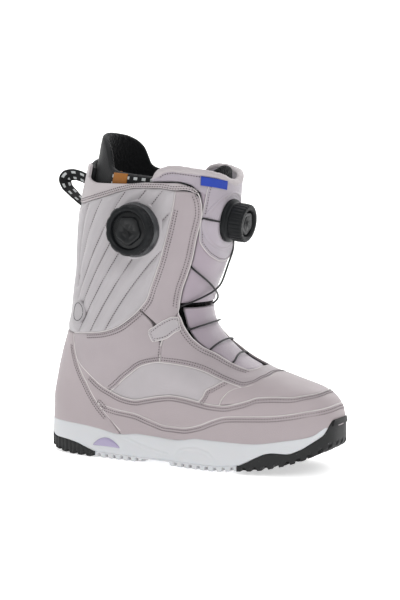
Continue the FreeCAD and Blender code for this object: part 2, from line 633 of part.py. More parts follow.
def lugs(x0, x1, pitch, size):
    """Three lugs in each row across the sole, from x0 to x1."""
    out, x = [], x0
    while x <= x1:
        (q, _) = at(x, SOLE_REF_Z)
        y_lat, y_med = sole_point(q, -2.5)[1], sole_point(-q, -2.5)[1]
        width = (y_med - y_lat) / 3 - 4
        base = sole_foot(x)
        for i in range(3):
            y = y_lat + i * (width + 6)
            skew = 1.5 * (i - 1)
            low = max(base, sole_foot(x + size))
            corners = [Vector(x + skew, y, low), Vector(x + skew + size, y + 1, low),
                       Vector(x + skew + size, y + width - 1, low), Vector(x + skew, y + width, low)]
            face = Part.Face(Part.makePolygon(corners + [corners[0]]))
            out.append(face.extrude(Vector(0, 0, LUG - 0.1)))
        x += pitch
    return out


def sole_unit():
    qh, qt = q_of_x(HEEL_CUT), q_of_x(TOE_CUT)
    ring = plan_grid(0.99, qh, SOLE_STEP, nu=18)
    heel = slab(raised(ring, lambda x: sole_foot(x) + LUG), raised(ring, lambda x: heel_rubber(x) - 0.4))
    tab = panel([(-0.955, 33), (-1.045, 33)], [(-0.96, 46), (-1.04, 46)], (2.2, 3.6), nu=6, nv=4)
    save("heel_tread", [heel, tab] + lugs(-132, -98, 11.5, 6.5))
    ring = plan_grid(qt, 0.01, SOLE_STEP, nu=22)
    toe = slab(raised(ring, lambda x: sole_foot(x) + LUG), raised(ring, lambda x: toe_rubber(x) - 0.5))
    bumper = panel([(-0.1, 43.5), (0, 44.2), (0.1, 43.5)], [(-0.085, 49), (0, 49.5), (0.085, 49)],
                   (2.1, 3.4), nu=10, nv=4)
    save("toe_tread", [toe, bumper] + lugs(66, 112, 11.5, 6.5))
    ring = plan_grid(qh - 0.004, qt + 0.004, SOLE_STEP - 1.2, nu=24)
    plate = slab(raised(ring, lambda x: sole_foot(x) + LUG),
                 raised(ring, lambda x: sole_foot(x) + LUG + PLATE - 0.4))
    spine = Part.makeBox(24, 14, LUG - 0.1, Vector(-22, -7, 0))
    save("centre_lugs", [plate, spine] + lugs(-80, -34, 12, 8) + lugs(5, 53, 12, 8))
    full = plan_grid(0.99, 0.01, SOLE_STEP, nu=48)
    save("midsole", slab(raised(full, tread_top), raised(full, sole_top)))
    board = plan_grid(0.99, 0.01, -3.5, nu=40)
    save("lasting_board", slab(raised(board, lambda x: sole_top(x) + 0.4),
                               raised(board, lambda x: sole_top(x) + 3.0)))
    inner = plan_grid(0.99, 0.01, -5.4, nu=40)
    save("liner_sole", slab(raised(inner, lambda x: sole_top(x) + 3.3),
                            raised(inner, lambda x: sole_top(x) + 8.9)))
    bed = plan_grid(0.99, 0.01, -12.4, nu=40)
    save("footbed", slab(raised(bed, lambda x: sole_top(x) + 9.2),
                         raised(bed, lambda x: sole_top(x) + 13.2)))
    pods = []
    for sign, _ in BOTH:
        pods.append(pod(sign))
    save("sole_pods", pods)


def pod(sign):
    """A lens-shaped coloured window on the side of the midsole, flat below and arched above."""
    grids = []
    for step in (SOLE_STEP + 0.2, SOLE_STEP + 1.0):
        rows = []
        for u in stations(11):
            (q, _) = at(-90 + 31.0 * u, SOLE_REF_Z)
            px, py = sole_point(sign * q, step)
            rise = 1.0 + 32.0 * u * (1 - u)
            rows.append([Vector(px, py, 11.5 + rise * v) for v in stations(4)])
        grids.append(rows)
    return slab(*grids)


# ---- lace dials ---------------------------------------------------------------------------------
def dial(prefix, origin, axis, base_r, knob_r, height, lobes):
    """Housing, spool, drive ring, knob and cap of one lace dial, stacked along axis."""
    housing = turned([(3.2, 0), (base_r, 0), (base_r, 3.4), (base_r - 3.2, 4.6), (base_r - 3.2, 6.4),
                      (base_r - 5.0, 6.4), (base_r - 5.0, 1.8), (3.2, 1.8)], origin, axis)
    post = turned([(0.02, 0.0), (3.0, 0.0), (3.0, height - 7.0), (0.02, height - 7.0)], origin, axis)
    save(f"{prefix}_housing", [housing, post])
    save(f"{prefix}_spool", turned([(3.3, 2.1), (base_r - 5.5, 2.1), (base_r - 5.5, 3.0), (7.5, 3.6),
                                    (7.5, 5.4), (base_r - 5.5, 6.0), (base_r - 5.5, 6.5), (3.3, 6.5)],
                                   origin, axis))
    save(f"{prefix}_drive_ring", turned([(3.3, 7.2), (base_r - 6.5, 7.2), (base_r - 6.5, 9.4),
                                         (3.3, 9.4)], origin, axis))
    grip, z0 = [], 6.9
    for k in range(2):
        z = z0 + (height - z0 - 2.2) * k
        loop = []
        for i in range(96):
            a = 2 * math.pi * i / 96
            r = knob_r * (1 - 0.02 * k) - 0.55 * (1 + math.cos(lobes * a)) / 2
            loop.append(Vector(r * math.cos(a), r * math.sin(a), z))
        spline = Part.BSplineCurve()
        spline.interpolate(loop, PeriodicFlag=True)
        grip.append(Part.Wire([spline.toShape()]))
    body = Part.makeLoft(grip, True)
    bore = Part.makeCylinder(base_r - 6.0, 2.9, Vector(0, 0, z0 - 0.1))
    hole = Part.makeCylinder(3.4, height, Vector(0, 0, 0))
    dish = Part.makeCylinder(knob_r - 6.5, 3.0, Vector(0, 0, height - 4.2))
    body = body.cut(bore).cut(hole).cut(dish)
    body.Placement = FreeCAD.Placement(origin, FreeCAD.Rotation(Vector(0, 0, 1), axis))
    save(f"{prefix}_knob", body)
    save(f"{prefix}_cap", turned([(0.02, height - 4.1), (knob_r - 6.8, height - 4.1),
                                  (knob_r - 6.8, height - 2.2), (knob_r - 8.0, height - 1.4),
                                  (0.02, height - 1.2)], origin, axis))


# ---- lace ---------------------------------------------------------------------------------------
LACE = [(-0.190, 221, 3.4), (-0.205, 219, 0.6), (-0.223, 213, -1.5), (-0.243, 203, -1.6), (-0.246, 192, -1.6),
        (-0.232, 184.5, -1.3), (-0.208, 180.5, 1.1), (-0.15, 174, 2.3), (-0.08, 167.5, 2.3),
        (-0.01, 160.5, 2.3), (0.06, 155, 2.2), (0.13, 149, 2.1), (0.20, 144, 1.3), (0.231, 140, -1.2),
        (0.25, 130, -1.5), (0.246, 117, -1.5), (0.226, 105, -1.5), (0.18, 99, -1.2), (0.14, 98, 1.2),
        (0.07, 100.5, 1.9), (0.0, 101.3, 2.0), (-0.06, 100, 1.9), (-0.11, 97.2, 1.7), (-0.148, 94.8, 1.0),
        (-0.177, 95.5, -1.4), (-0.206, 99.5, -1.5), (-0.202, 104.5, -1.0), (-0.175, 107, 1.3),
        (-0.11, 110.8, 2.0), (-0.04, 112.8, 2.1), (0.04, 112.8, 2.1), (0.11, 111.8, 1.9),
        (0.168, 109.8, 1.2), (0.200, 111.8, -1.2), (0.214, 118, -1.5), (0.210, 124.5, -1.0),
        (0.186, 127.5, 1.3), (0.12, 128.8, 2.1), (0.05, 129.3, 2.3), (-0.03, 128.9, 2.3), (-0.1, 127.6, 2.1),
        (-0.16, 126, 1.8), (-0.203, 124.3, 0.9), (-0.234, 126.5, -1.4), (-0.252, 134, -1.5),
        (-0.242, 142.3, -1.4), (-0.213, 146.5, 0.9), (-0.155, 150.5, 2.4), (-0.09, 155, 3.1),
        (-0.03, 159.8, 4.6), (0.03, 165.5, 4.5), (0.07, 173, 3.2), (0.09, 183, 2.6), (0.09, 192, 3.2)]


def laces():
    """One lace, held by the guides: front dial, then to and fro across the throat, and back."""
    axis = dial_axis()
    port = DIAL_FRONT + axis * 1.7
    down = Vector(axis.z, 0, -axis.x)
    ends = [port + Vector(0, -21.5, 0), port + Vector(0, 10, 0) + down * 19.1]
    tube_points = [ends[0]] + [shifted(q, z, d) for q, z, d in LACE] + [ends[1]]
    save("front_lace", tube(tube_points, LACE_R, 0.45))


def dial_axis():
    lean = math.radians(DIAL_LEAN)
    return Vector(math.cos(lean), 0, -math.sin(lean))


os.makedirs("parts", exist_ok=True)
outer_panels()
cuff()
linings()
tongue()
pull_loop()
liner()
sole_unit()
dial("front_dial", DIAL_FRONT, dial_axis(), 20.2, 18.5, 19.5, 12)
dial("side_dial", DIAL_SIDE, Vector(0, -1, 0), 24.8, 23.4, 15.5, 11)
laces()
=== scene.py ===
import json
import math

import bpy
import numpy as np
from bpy.props import FloatProperty, FloatVectorProperty, IntProperty, PointerProperty
from bpy.types import Operator, Panel, PropertyGroup
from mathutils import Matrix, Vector


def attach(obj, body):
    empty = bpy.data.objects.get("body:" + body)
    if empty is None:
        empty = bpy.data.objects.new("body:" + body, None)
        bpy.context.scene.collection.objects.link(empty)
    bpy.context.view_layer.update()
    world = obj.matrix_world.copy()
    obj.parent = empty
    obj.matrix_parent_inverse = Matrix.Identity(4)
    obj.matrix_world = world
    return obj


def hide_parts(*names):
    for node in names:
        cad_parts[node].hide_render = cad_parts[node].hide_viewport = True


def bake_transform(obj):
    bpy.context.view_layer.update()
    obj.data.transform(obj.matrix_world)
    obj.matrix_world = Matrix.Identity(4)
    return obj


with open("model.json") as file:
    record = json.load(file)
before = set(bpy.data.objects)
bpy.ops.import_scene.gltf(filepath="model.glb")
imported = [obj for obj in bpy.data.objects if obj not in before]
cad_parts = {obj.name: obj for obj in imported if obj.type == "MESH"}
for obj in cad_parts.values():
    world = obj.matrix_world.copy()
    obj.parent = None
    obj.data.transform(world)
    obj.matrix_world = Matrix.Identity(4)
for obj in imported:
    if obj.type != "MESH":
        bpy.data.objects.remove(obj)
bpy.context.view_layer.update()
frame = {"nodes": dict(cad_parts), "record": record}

bl_info = {
    "name": "Snowboard boot looks",
    "version": (1, 0, 0),
    "blender": (4, 5, 0),
    "location": "3D View > Sidebar > Boot",
    "description": "Panels, quilting, stitching, laces, dials and sole of a snowboard boot",
    "category": "Object",
}

# Lengths below are millimetres: X to the toe, Z up, -Y to the outer side of this right boot.
# The upper is one master surface, a stack of horizontal outlines. A point on it is (q, z), where
# q * 180 degrees is the direction round the outline: 0 front, -0.5 outer side, +0.5 inner side.
FRONT = [(10, 134), (28, 137.5), (44, 140), (56, 138.5), (65, 133.5), (70, 126), (75, 111), (80, 94),
         (86, 75), (95, 54.5), (105, 40), (118, 26.5), (131, 18.5), (143, 16), (160, 19.5), (176, 26.5),
         (192, 32.5), (217, 38), (245, 44), (275, 46), (310, 46)]
BACK = [(10, -142), (28, -146), (48, -146), (71, -142), (93, -136), (115, -129), (137, -123.5),
        (160, -120.5), (182, -118), (204, -117), (226, -115.5), (242, -112.5), (267, -106), (310, -96)]
FOOT_OUTER = [(0, 34), (0.25, 37), (0.45, 40.5), (0.65, 48), (0.8, 50), (1, 47)]
FOOT_INNER = [(0, 34), (0.25, 36), (0.45, 38.5), (0.62, 46), (0.8, 50), (1, 50)]
SHAFT_HALF = [(60, 46), (100, 45), (130, 46.5), (160, 49), (200, 51), (245, 52), (310, 52)]
SQUARE_FRONT = [(28, 3.0), (60, 2.6), (80, 2.4), (110, 2.25), (140, 2.15), (200, 2.25), (310, 2.25)]
SQUARE_BACK = [(28, 3.4), (60, 3.1), (100, 2.6), (140, 2.2), (310, 2.05)]
SHAFT_SHARE = [(28, 0), (50, 0), (130, 1), (310, 1)]
SHAFT_SHIFT = [(60, -4), (130, -4), (165, -6), (222, -11), (310, -12)]
FOOT_SHIFT = 5.0
SOLE_REF_Z = 34.0                 # height of the outline that the sole follows
SOLE_STEP = 2.6                   # how far the midsole stands outside it
LUG = 3.6                         # height of the lugs
PLATE = 1.7                       # thickness of the plate above them
HEEL_CUT, TOE_CUT = -88.0, 64.0   # X where the heel and toe rubber end
DIAL_FRONT = np.array([40.8, -15.0, 223.0])
DIAL_LEAN = math.radians(8)
DIAL_SIDE = np.array([-32.3, -57.4, 214.8])
FRONT_AXIS = np.array([math.cos(DIAL_LEAN), 0, -math.sin(DIAL_LEAN)])
SIDE_AXIS = np.array([0, -1.0, 0])
BOTH = ((1, "lateral"), (-1, "medial"))

# Each panel's inner and outer face, as heights over the master surface.
RAND, BAND, COUNTER, TOE_BOX = (0.3, 1.9), (0.3, 1.8), (0.3, 2.3), (0.3, 2.0)
BACKSTAY, COLLAR, VAMP, WING = (0.3, 2.4), (0.3, 2.7), (0.3, 1.8), (0.3, 1.9)
INSERT, QUARTER, EYESTAY, TAB = (0.2, 1.0), (0.3, 1.7), (0.3, 1.9), (1.7, 2.7)
QUILT, BADGE, LOWER_TONGUE, UPPER_TONGUE = (0.2, 1.7), (1.5, 3.6), (-4.0, -0.9), (-3.4, -0.6)
TONGUE_CENTRE, TONGUE_COLLAR, TONGUE_TAB = (-0.4, 1.0), (-4.8, 0.5), (0.5, 2.2)
LINER_WALL, LINER_TONGUE, COLLAR_PAD = (-11.2, -5.2), (-14.8, -9.0), (-5.0, -0.2)
STRAP, STRAP_TAB, INNER_TAB = (-5.4, -4.2), (-4.4, -3.5), (-12.6, -11.0)

ROW_GROOVE = 0.1                  # depth that a row of stitches pulls the panel in
AIM = (0, 0, 0.15)                # the point that the camera and the lights face, in metres


# ---- curves and the master surface --------------------------------------------------------------
def unit(vectors):
    """The vectors divided by their lengths."""
    return vectors / np.linalg.norm(vectors, axis=-1, keepdims=True)


def run_of(points):
    """Length along a polyline from its start to each of its points."""
    return np.concatenate([[0], np.cumsum(np.linalg.norm(np.diff(points, axis=0), axis=1))])


def curve(table):
    """A monotone cubic through (x, y) points, level past its ends, as a function of an array."""
    xs, ys = np.array(table, float).T
    h = np.diff(xs)
    d = np.diff(ys) / h
    w1, w2 = 2 * h[1:] + h[:-1], h[1:] + 2 * h[:-1]
    safe = d[:-1] * d[1:] > 0
    inner = np.where(safe, (w1 + w2) / (w1 / np.where(safe, d[:-1], 1) + w2 / np.where(safe, d[1:], 1)), 0)
    m = np.concatenate([d[:1], inner, d[-1:]])

    def value(x):
        x = np.clip(x, xs[0], xs[-1])
        k = np.clip(np.searchsorted(xs, x, side="right") - 1, 0, len(xs) - 2)
        u = (x - xs[k]) / h[k]
        return ((2 * u**3 - 3 * u**2 + 1) * ys[k] + (u**3 - 2 * u**2 + u) * h[k] * m[k]
                + (3 * u**2 - 2 * u**3) * ys[k + 1] + (u**3 - u**2) * h[k] * m[k + 1])

    return value


front_x, back_x = curve(FRONT), curve(BACK)
foot_outer, foot_inner = curve(FOOT_OUTER), curve(FOOT_INNER)
shaft_half, shaft_share, shaft_shift = curve(SHAFT_HALF), curve(SHAFT_SHARE), curve(SHAFT_SHIFT)
square_front, square_back = curve(SQUARE_FRONT), curve(SQUARE_BACK)


def surface(q, z):
    """Points of the master surface: a super-ellipse r = (|cos|^n + |sin|^n)^(-1/n) in the direction
    q * 180 degrees, stretched between the back and front lines and sheared towards the big toe."""
    xf, xb = front_x(z), back_x(z)
    c, s = np.cos(np.pi * q), np.sin(np.pi * q)
    n = np.where(c > 0, square_front(z), square_back(z))
    r = (np.abs(c)**n + np.abs(s)**n)**(-1 / n)
    a = (1 + r * c) / 2
    w = shaft_share(z)
    half = (1 - w) * np.where(s < 0, foot_outer(a), foot_inner(a)) + w * shaft_half(z)
    centre = (FOOT_SHIFT * (1 - w) + shaft_shift(z) * w) * a * a
    return np.stack([xb + (xf - xb) * a, half * r * s + centre, z + 0 * q], -1)


def frame_at(q, z):
    """Unit vectors of the surface at (q, z): its outward normal, and its slopes along q and z."""
    along = (surface(q + 1e-3, z) - surface(q - 1e-3, z)) / 2e-3
    up = (surface(q, z + 0.25) - surface(q, z - 0.25)) / 0.5
    return unit(np.cross(along, up)), along, up


def shifted(q, z, d):
    """The surface point at (q, z) moved out by d along the normal."""
    q, z, d = np.broadcast_arrays(np.asarray(q, float), np.asarray(z, float), np.asarray(d, float))
    return surface(q, z) + frame_at(q, z)[0] * d[..., None]


def side_q(x, z):
    """q of the outer-side point with this x and z: the angle whose super-ellipse has that x."""
    xf, xb = front_x(z), back_x(z)
    c = np.clip((2 * x - xf - xb) / (xf - xb), -1, 1)
    n = np.where(c > 0, square_front(z), square_back(z))
    return -np.arctan2((1 - np.abs(c)**n)**(1 / n), c) / np.pi


def q_at_y(y, z):
    """q of the front point with this y and z, by halving an interval."""
    low, high = np.full(np.shape(y), -0.45), np.full(np.shape(y), 0.45)
    for _ in range(24):
        mid = (low + high) / 2
        less = surface(mid, z)[..., 1] < y
        low, high = np.where(less, mid, low), np.where(less, high, mid)
    return (low + high) / 2


def lateral(points):
    """(q, z) of outer-side points given as (x, z)."""
    x, z = np.array(points, float).T
    return np.stack([side_q(x, z), z], -1)


def mirrored(line):
    return line * np.array([-1, 1])


def behind(line):
    """The inner twin of an outer line, with q counted on past the back, below -1."""
    return line * np.array([-1, 1]) - np.array([2, 0])


def across(line, z_middle):
    """An outer line carried over the front centre and down its inner twin."""
    return np.concatenate([line, [[0, z_middle]], mirrored(line)[::-1]])


def joined(*lines):
    return np.concatenate([np.atleast_2d(np.asarray(line, float)) for line in lines])


def spaced(line, count):
    """count points evenly spaced on a monotone cubic through the line's points."""
    line = np.asarray(line, float)
    steps = np.hypot(np.diff(line[:, 0]) * 220, np.diff(line[:, 1]))
    run = np.concatenate([[0], np.cumsum(np.maximum(steps, 1e-3))])
    share = np.linspace(0, run[-1], count)
    if len(line) == 2:
        return np.stack([np.interp(share, run, line[:, k]) for k in (0, 1)], -1)
    return np.stack([curve(list(zip(run, line[:, k])))(share) for k in (0, 1)], -1)


def by_length(line, step):
    """Points every step millimetres along a line on the surface, as (q, z)."""
    fine = spaced(line, 600)
    run = run_of(surface(fine[:, 0], fine[:, 1]))
    at = np.arange(step / 2, run[-1], step)
    return np.stack([np.interp(at, run, fine[:, k]) for k in (0, 1)], -1)


def beside(line, gap):
    """The line moved sideways on the surface by gap, up for a line that runs towards +q."""
    fine = spaced(line, 160)
    q, z = fine.T
    n, along, up = frame_at(q, z)
    t = unit(np.gradient(surface(q, z), axis=0))
    move = np.cross(n, t) * gap
    aa, bb, ab = (along * along).sum(1), (up * up).sum(1), (along * up).sum(1)
    ma, mb = (move * along).sum(1), (move * up).sum(1)
    det = aa * bb - ab * ab
    return fine + np.stack([(ma * bb - mb * ab) / det, (mb * aa - ma * ab) / det], -1)


def distance_to(points, line):
    """Distance from each (a, b) point to a polyline: the least over its straight pieces."""
    line = np.asarray(line, float)
    best = np.full(points.shape[:-1], 1e9)
    for a, b in zip(line, line[1:]):
        t = np.clip(((points - a) @ (b - a)) / ((b - a) @ (b - a)), 0, 1)
        best = np.minimum(best, np.linalg.norm(points - a - t[..., None] * (b - a), axis=-1))
    return best


def creases(p, height, seed):
    """Soft unevenness: a sum of sine waves in seeded directions, 14 to 50 mm long."""
    rng = np.random.default_rng(seed)
    total = np.zeros(p.shape[:-1])
    for _ in range(9):
        k = rng.normal(size=3)
        k *= 2 * np.pi / rng.uniform(14, 50) / np.linalg.norm(k)
        total += np.sin(p @ k + rng.uniform(0, 6.28))
    return height * total / 3


# ---- lines on the boot --------------------------------------------------------------------------
SOLE_TOP = [(-146, 31), (-110, 30), (-84, 28), (-61, 24.5), (-40, 26.5), (0, 25), (25, 28.5),
            (75, 28), (107, 32), (127, 36), (136, 43)]
RAND_LINE = [(-86, 51.5), (-65, 47), (-45, 45), (-26, 40), (-10, 36.5), (7, 36.5), (24, 40), (40, 46.5),
             (53, 50.5), (73, 52), (93, 53), (109, 55), (123, 57.5)]
BAND_LINE = [(-107, 91), (-93, 77.5), (-81, 68.5), (-70, 63.5), (-57, 59), (-45, 57.5), (-32, 60),
             (-18, 63), (-3, 65), (12, 64), (26, 62), (37, 60.5), (49, 60), (62, 62.5), (72, 65.5),
             (82, 68.5), (95, 69), (107, 68.5), (117, 69.5)]
COUNTER_LINE = [(-58.5, 27), (-73, 39.5), (-86, 52), (-98.5, 71), (-107, 91), (-110, 104), (-111, 115)]
QUILT_FOOT = [(-111, 115), (-94, 117), (-75, 119.5), (-57, 125), (-43, 134), (-33, 143)]
QUILT_FRONT = [(-33, 143), (-24.6, 154), (-13.5, 180), (-6.8, 198), (-0.6, 218), (3.6, 234), (6.4, 250)]
QUILT_TOP = [(-101, 236), (-87, 239), (-66, 244), (-47, 249), (-30, 252), (-7, 252), (6.4, 250)]
COLLAR_EDGE = [(-91, 271), (-93, 262), (-87, 257), (-78, 255.5), (-44, 255.5), (-20, 257), (6, 257),
               (19, 254)]
THROAT = [(19, 254), (24.4, 249), (26.6, 242), (25.9, 226), (20, 204), (13.4, 182.5), (8.4, 171),
          (0.4, 146), (-0.6, 140)]
THROAT_LOW = [(-0.6, 140), (2, 133), (5, 126), (12, 116.5), (21, 109), (34.5, 101.5), (48.5, 93.5),
              (56, 90.3), (62, 88.3)]
VAMP_LINE = [(-71, 63.5), (-58, 73.5), (-44, 84), (-31, 91.5), (-14, 95), (0, 94), (18.5, 91), (33, 86.5),
             (43, 82.5), (54, 79), (65, 76)]
TOE_LINE = [(65, 76), (73.5, 78), (79, 82)]
RIM = [(0, 259.5), (0.05, 260.8), (0.14, 265.8), (0.24, 269.4), (0.3, 271.2), (0.36, 272.5),
       (0.4, 270.5), (0.42, 267), (0.438, 262.4)]
QUILT_SEAMS = [
    [(-89.6, 240), (-100, 209), (-105.7, 167)],
    [(-70, 244), (-84, 219.5), (-95, 200), (-102, 175.5), (-106, 160)],
    [(-44, 250), (-50.7, 238), (-67.5, 218), (-78, 199.5), (-88, 182), (-97, 171), (-103.7, 149.5)],
    [(-23, 252), (-29, 239), (-64, 200), (-77.5, 177), (-90.4, 158.5), (-99, 143), (-104, 130)],
    [(-5.8, 252), (-18.4, 232.5), (-53.6, 190), (-68, 170.5), (-83.8, 152), (-90.8, 139), (-102.6, 117)],
    [(0, 230), (-17, 212.5), (-35.3, 191), (-46.6, 175), (-59.7, 159), (-72.4, 145.5), (-80.8, 132.5),
     (-87.6, 118)],
    [(-8, 197), (-24.7, 181), (-29.3, 174), (-43.4, 157), (-56.3, 143), (-65.4, 130), (-71.4, 120)]]

sole_top = curve(SOLE_TOP)
rand_line, band_line, counter_line = lateral(RAND_LINE), lateral(BAND_LINE), lateral(COUNTER_LINE)
quilt_foot, quilt_front, quilt_top = lateral(QUILT_FOOT), lateral(QUILT_FRONT), lateral(QUILT_TOP)
throat, throat_low = lateral(THROAT), lateral(THROAT_LOW)
vamp_line, toe_line = lateral(VAMP_LINE), lateral(TOE_LINE)
eyestay_foot = lateral([(-33, 142), (-20, 130.5), (-14, 125.5), (-8, 128.5), (-0.6, 140)])
toe_rear = lateral([(46, 60.3), (48.6, 65.5), (53.5, 71.5), (59, 74.6), (65, 76)])
insert_front = lateral([(25, 62), (32.5, 71.8), (41.6, 77.2), (47.8, 80.8)])
rand_edge = across(joined(lateral([(-77, 43.5)]), rand_line), 60.5)
band_edge = across(band_line, 70.5)


def low_edge(q0, q1, lift):
    """The top of the sole from q0 to q1, raised by lift."""
    q = np.linspace(q0, q1, 25)
    return np.stack([q, sole_top(surface(q, np.full(25, 32.0))[:, 0]) + lift], -1)


def side_of(line, sign):
    return np.asarray(line, float) * np.array([sign, 1])


# ---- meshes -------------------------------------------------------------------------------------
def grid_faces(nu, nv, ids=None):
    """Quads of a grid of nu by nv points, turning from the first direction to the second."""
    ids = np.arange(nu * nv).reshape(nu, nv) if ids is None else ids
    return np.stack([ids[:-1, :-1], ids[1:, :-1], ids[1:, 1:], ids[:-1, 1:]], -1).reshape(-1, 4)


def ring_faces(rows, count):
    """Quads between rows rings of count points each, and the caps on the first and last ring."""
    ids = np.arange(rows * count).reshape(rows, count)
    faces = grid_faces(rows, count + 1, np.concatenate([ids, ids[:, :1]], 1))
    return faces, [ids[0].tolist(), ids[-1][::-1].tolist()]


def make(name, points, faces, material, body, uv=None, nodes=(), caps=(), inside=None):
    """A mesh object from points in millimetres and quads, riding on a body."""
    mesh = bpy.data.meshes.new(name)
    mesh.from_pydata((np.asarray(points) * 0.001).tolist(), [], np.asarray(faces).tolist() + list(caps))
    if uv is not None:
        order = np.zeros(len(mesh.loops), np.int32)
        mesh.loops.foreach_get("vertex_index", order)
        mesh.uv_layers.new(name="UVMap").data.foreach_set("uv", np.asarray(uv, np.float32)[order].ravel())
    mesh.materials.append(finish(material))
    if inside is not None:
        mesh.materials.append(finish(inside[0]))
        index = np.zeros(len(mesh.polygons), np.int32)
        index[inside[1]:] = 1
        mesh.polygons.foreach_set("material_index", index)
    mesh.shade_smooth()
    mesh.validate()
    piece = bpy.data.objects.new(name, mesh)
    bpy.context.scene.collection.objects.link(piece)
    if body:
        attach(piece, body)
    if nodes:
        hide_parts(*nodes)
    return piece


def coons(edges, u, v):
    """A Coons patch: each edge's point blended towards the opposite edge, less the corners' blend."""
    def on(line, s):
        share = np.linspace(0, 1, len(line))
        return np.stack([np.interp(s, share, line[:, k]) for k in (0, 1)], -1)

    bottom, top, left, right = edges
    a, b = u[..., None], v[..., None]
    flat = ((1 - a) * (1 - b) * bottom[0] + a * (1 - b) * bottom[-1]
            + (1 - a) * b * top[0] + a * b * top[-1])
    return (1 - b) * on(bottom, u) + b * on(top, u) + (1 - a) * on(left, v) + a * on(right, v) - flat


def stations(count, edge, gap):
    """Stations across a panel as millimetres plus a share: close together near both edges."""
    near = edge * (1 - np.cos(np.linspace(0, np.pi / 2, 6)))
    inner = np.linspace(0, 1, count + 2)[1:-1]
    mm = np.concatenate([near + gap, (edge + gap) * (1 - 2 * inner), -near[::-1] - gap])
    return mm, np.concatenate([np.zeros(6), inner, np.ones(6)])


def panel(name, material, bottom, top, depth, left=None, right=None, edge=1.3, gap=0.1, step=1.6,
          relief=None, both=False, body="root", nodes=(), inside=None):
    """A sewn panel: a Coons patch of the master surface between four edges. Its outer face rises
    from depth[0] to depth[1] as a quarter ellipse over edge millimetres, and relief adds to it.
    With both, the inner face is rounded the same way, as on a padded wall."""
    bottom, top = spaced(bottom, 160), spaced(top, 160)
    left = spaced([bottom[0], top[0]] if left is None else left, 120)
    right = spaced([bottom[-1], top[-1]] if right is None else right, 120)
    edges = (bottom, top, left, right)
    t = np.linspace(0, 1, 33)
    uu, vv = np.meshgrid(t, t, indexing="ij")
    qz = coons(edges, uu, vv)
    p = surface(qz[..., 0], qz[..., 1])
    wide = np.linalg.norm(np.diff(p, axis=0), axis=-1).sum(0)
    tall = np.linalg.norm(np.diff(p, axis=1), axis=-1).sum(1)
    a, b = stations(max(int(wide.mean() / step), 4), edge, gap)
    c, d = stations(max(int(tall.mean() / step), 4), edge, gap)
    w = np.interp(np.clip(c / tall.mean() + d, 0, 1), t, wide)
    h = np.interp(np.clip(a / wide.mean() + b, 0, 1), t, tall)
    least = 4 * (edge + gap)
    w, h = np.maximum(w, least), np.maximum(h, least)
    u = a[:, None] / w[None, :] + b[:, None]
    v = c[None, :] / h[:, None] + d[None, :]
    qz = coons(edges, u, v)
    q, z = qz[..., 0], qz[..., 1]
    run_u, run_v = u * w[None, :], v * h[:, None]
    inset = np.minimum(np.minimum(run_u, w[None, :] - run_u), np.minimum(run_v, h[:, None] - run_v)) - gap
    share = np.clip(inset / edge, 0, 1)
    rise = np.sqrt(1 - (1 - share)**2)
    base = surface(q, z)
    normal = frame_at(q, z)[0]
    extra = relief(base, q, z, inset) * np.clip(inset / 2.0, 0, 1) if relief else 0
    if both:
        mid, half = (depth[0] + depth[1]) / 2, (depth[1] - depth[0]) / 2
        outer, inner = mid + half * rise + extra, mid - half * rise
    else:
        outer, inner = depth[0] + (depth[1] - depth[0]) * rise + extra, np.full(rise.shape, depth[0])
    nu, nv = q.shape
    ids = np.arange(nu * nv).reshape(nu, nv)
    back = ids.copy()
    back[1:-1, 1:-1] = nu * nv + np.arange((nu - 2) * (nv - 2)).reshape(nu - 2, nv - 2)
    shown = base + normal * outer[..., None]
    hidden = (base + normal * inner[..., None])[1:-1, 1:-1]
    front_faces, back_faces = grid_faces(nu, nv, ids), grid_faces(nu, nv, back)[:, ::-1]
    turn = np.cross(shown[1:, :-1] - shown[:-1, :-1], shown[:-1, 1:] - shown[:-1, :-1])
    if (turn * normal[:-1, :-1]).sum() < 0:
        front_faces, back_faces = front_faces[:, ::-1], back_faces[:, ::-1]
    uv = np.stack([run_u, run_v], -1) / 100
    return make(name, joined(shown.reshape(-1, 3), hidden.reshape(-1, 3)), joined(front_faces, back_faces)
                .astype(int), material, body, joined(uv.reshape(-1, 2), uv[1:-1, 1:-1].reshape(-1, 2)),
                nodes, inside=inside and (inside, len(front_faces)))


def tube(name, path, normal, radius, material, body, sides=10, flat=1.0, nodes=(), step_uv=10):
    """A round section carried along a path: centre + radius * (cos a * side + sin a * normal).
    radius may change along the path, and flat squeezes the section along the normal."""
    t = unit(np.gradient(path, axis=0))
    side = unit(np.cross(normal, t))
    up = np.cross(t, side)
    r = np.broadcast_to(radius, (len(path),)).astype(float).copy()
    a = np.linspace(0, 2 * np.pi, sides, endpoint=False)
    ring = np.cos(a)[None, :, None] * side[:, None, :] + flat * np.sin(a)[None, :, None] * up[:, None, :]
    points = path[:, None, :] + r[:, None, None] * ring
    faces, caps = ring_faces(len(path), sides)
    uv = np.stack(np.broadcast_arrays(run_of(path)[:, None] / step_uv, a[None, :] / (2 * np.pi)), -1)
    return make(name, points.reshape(-1, 3), faces[:, ::-1], material, body, uv.reshape(-1, 2), nodes,
                [cap[::-1] for cap in caps])


def piping(name, line, d, radius, material="piping_cord", body="root", slot="white_foam"):
    """A thin cord laid along a seam line on the surface at height d."""
    fine = spaced(line, 200)
    normal = frame_at(fine[:, 0], fine[:, 1])[0]
    path = surface(fine[:, 0], fine[:, 1]) + normal * d
    ends = np.clip(np.minimum(np.arange(200), np.arange(200)[::-1]) / 2.0, 0.2, 1)
    return tube(name, path, normal, radius * ends, material, body, 8, 1.0)


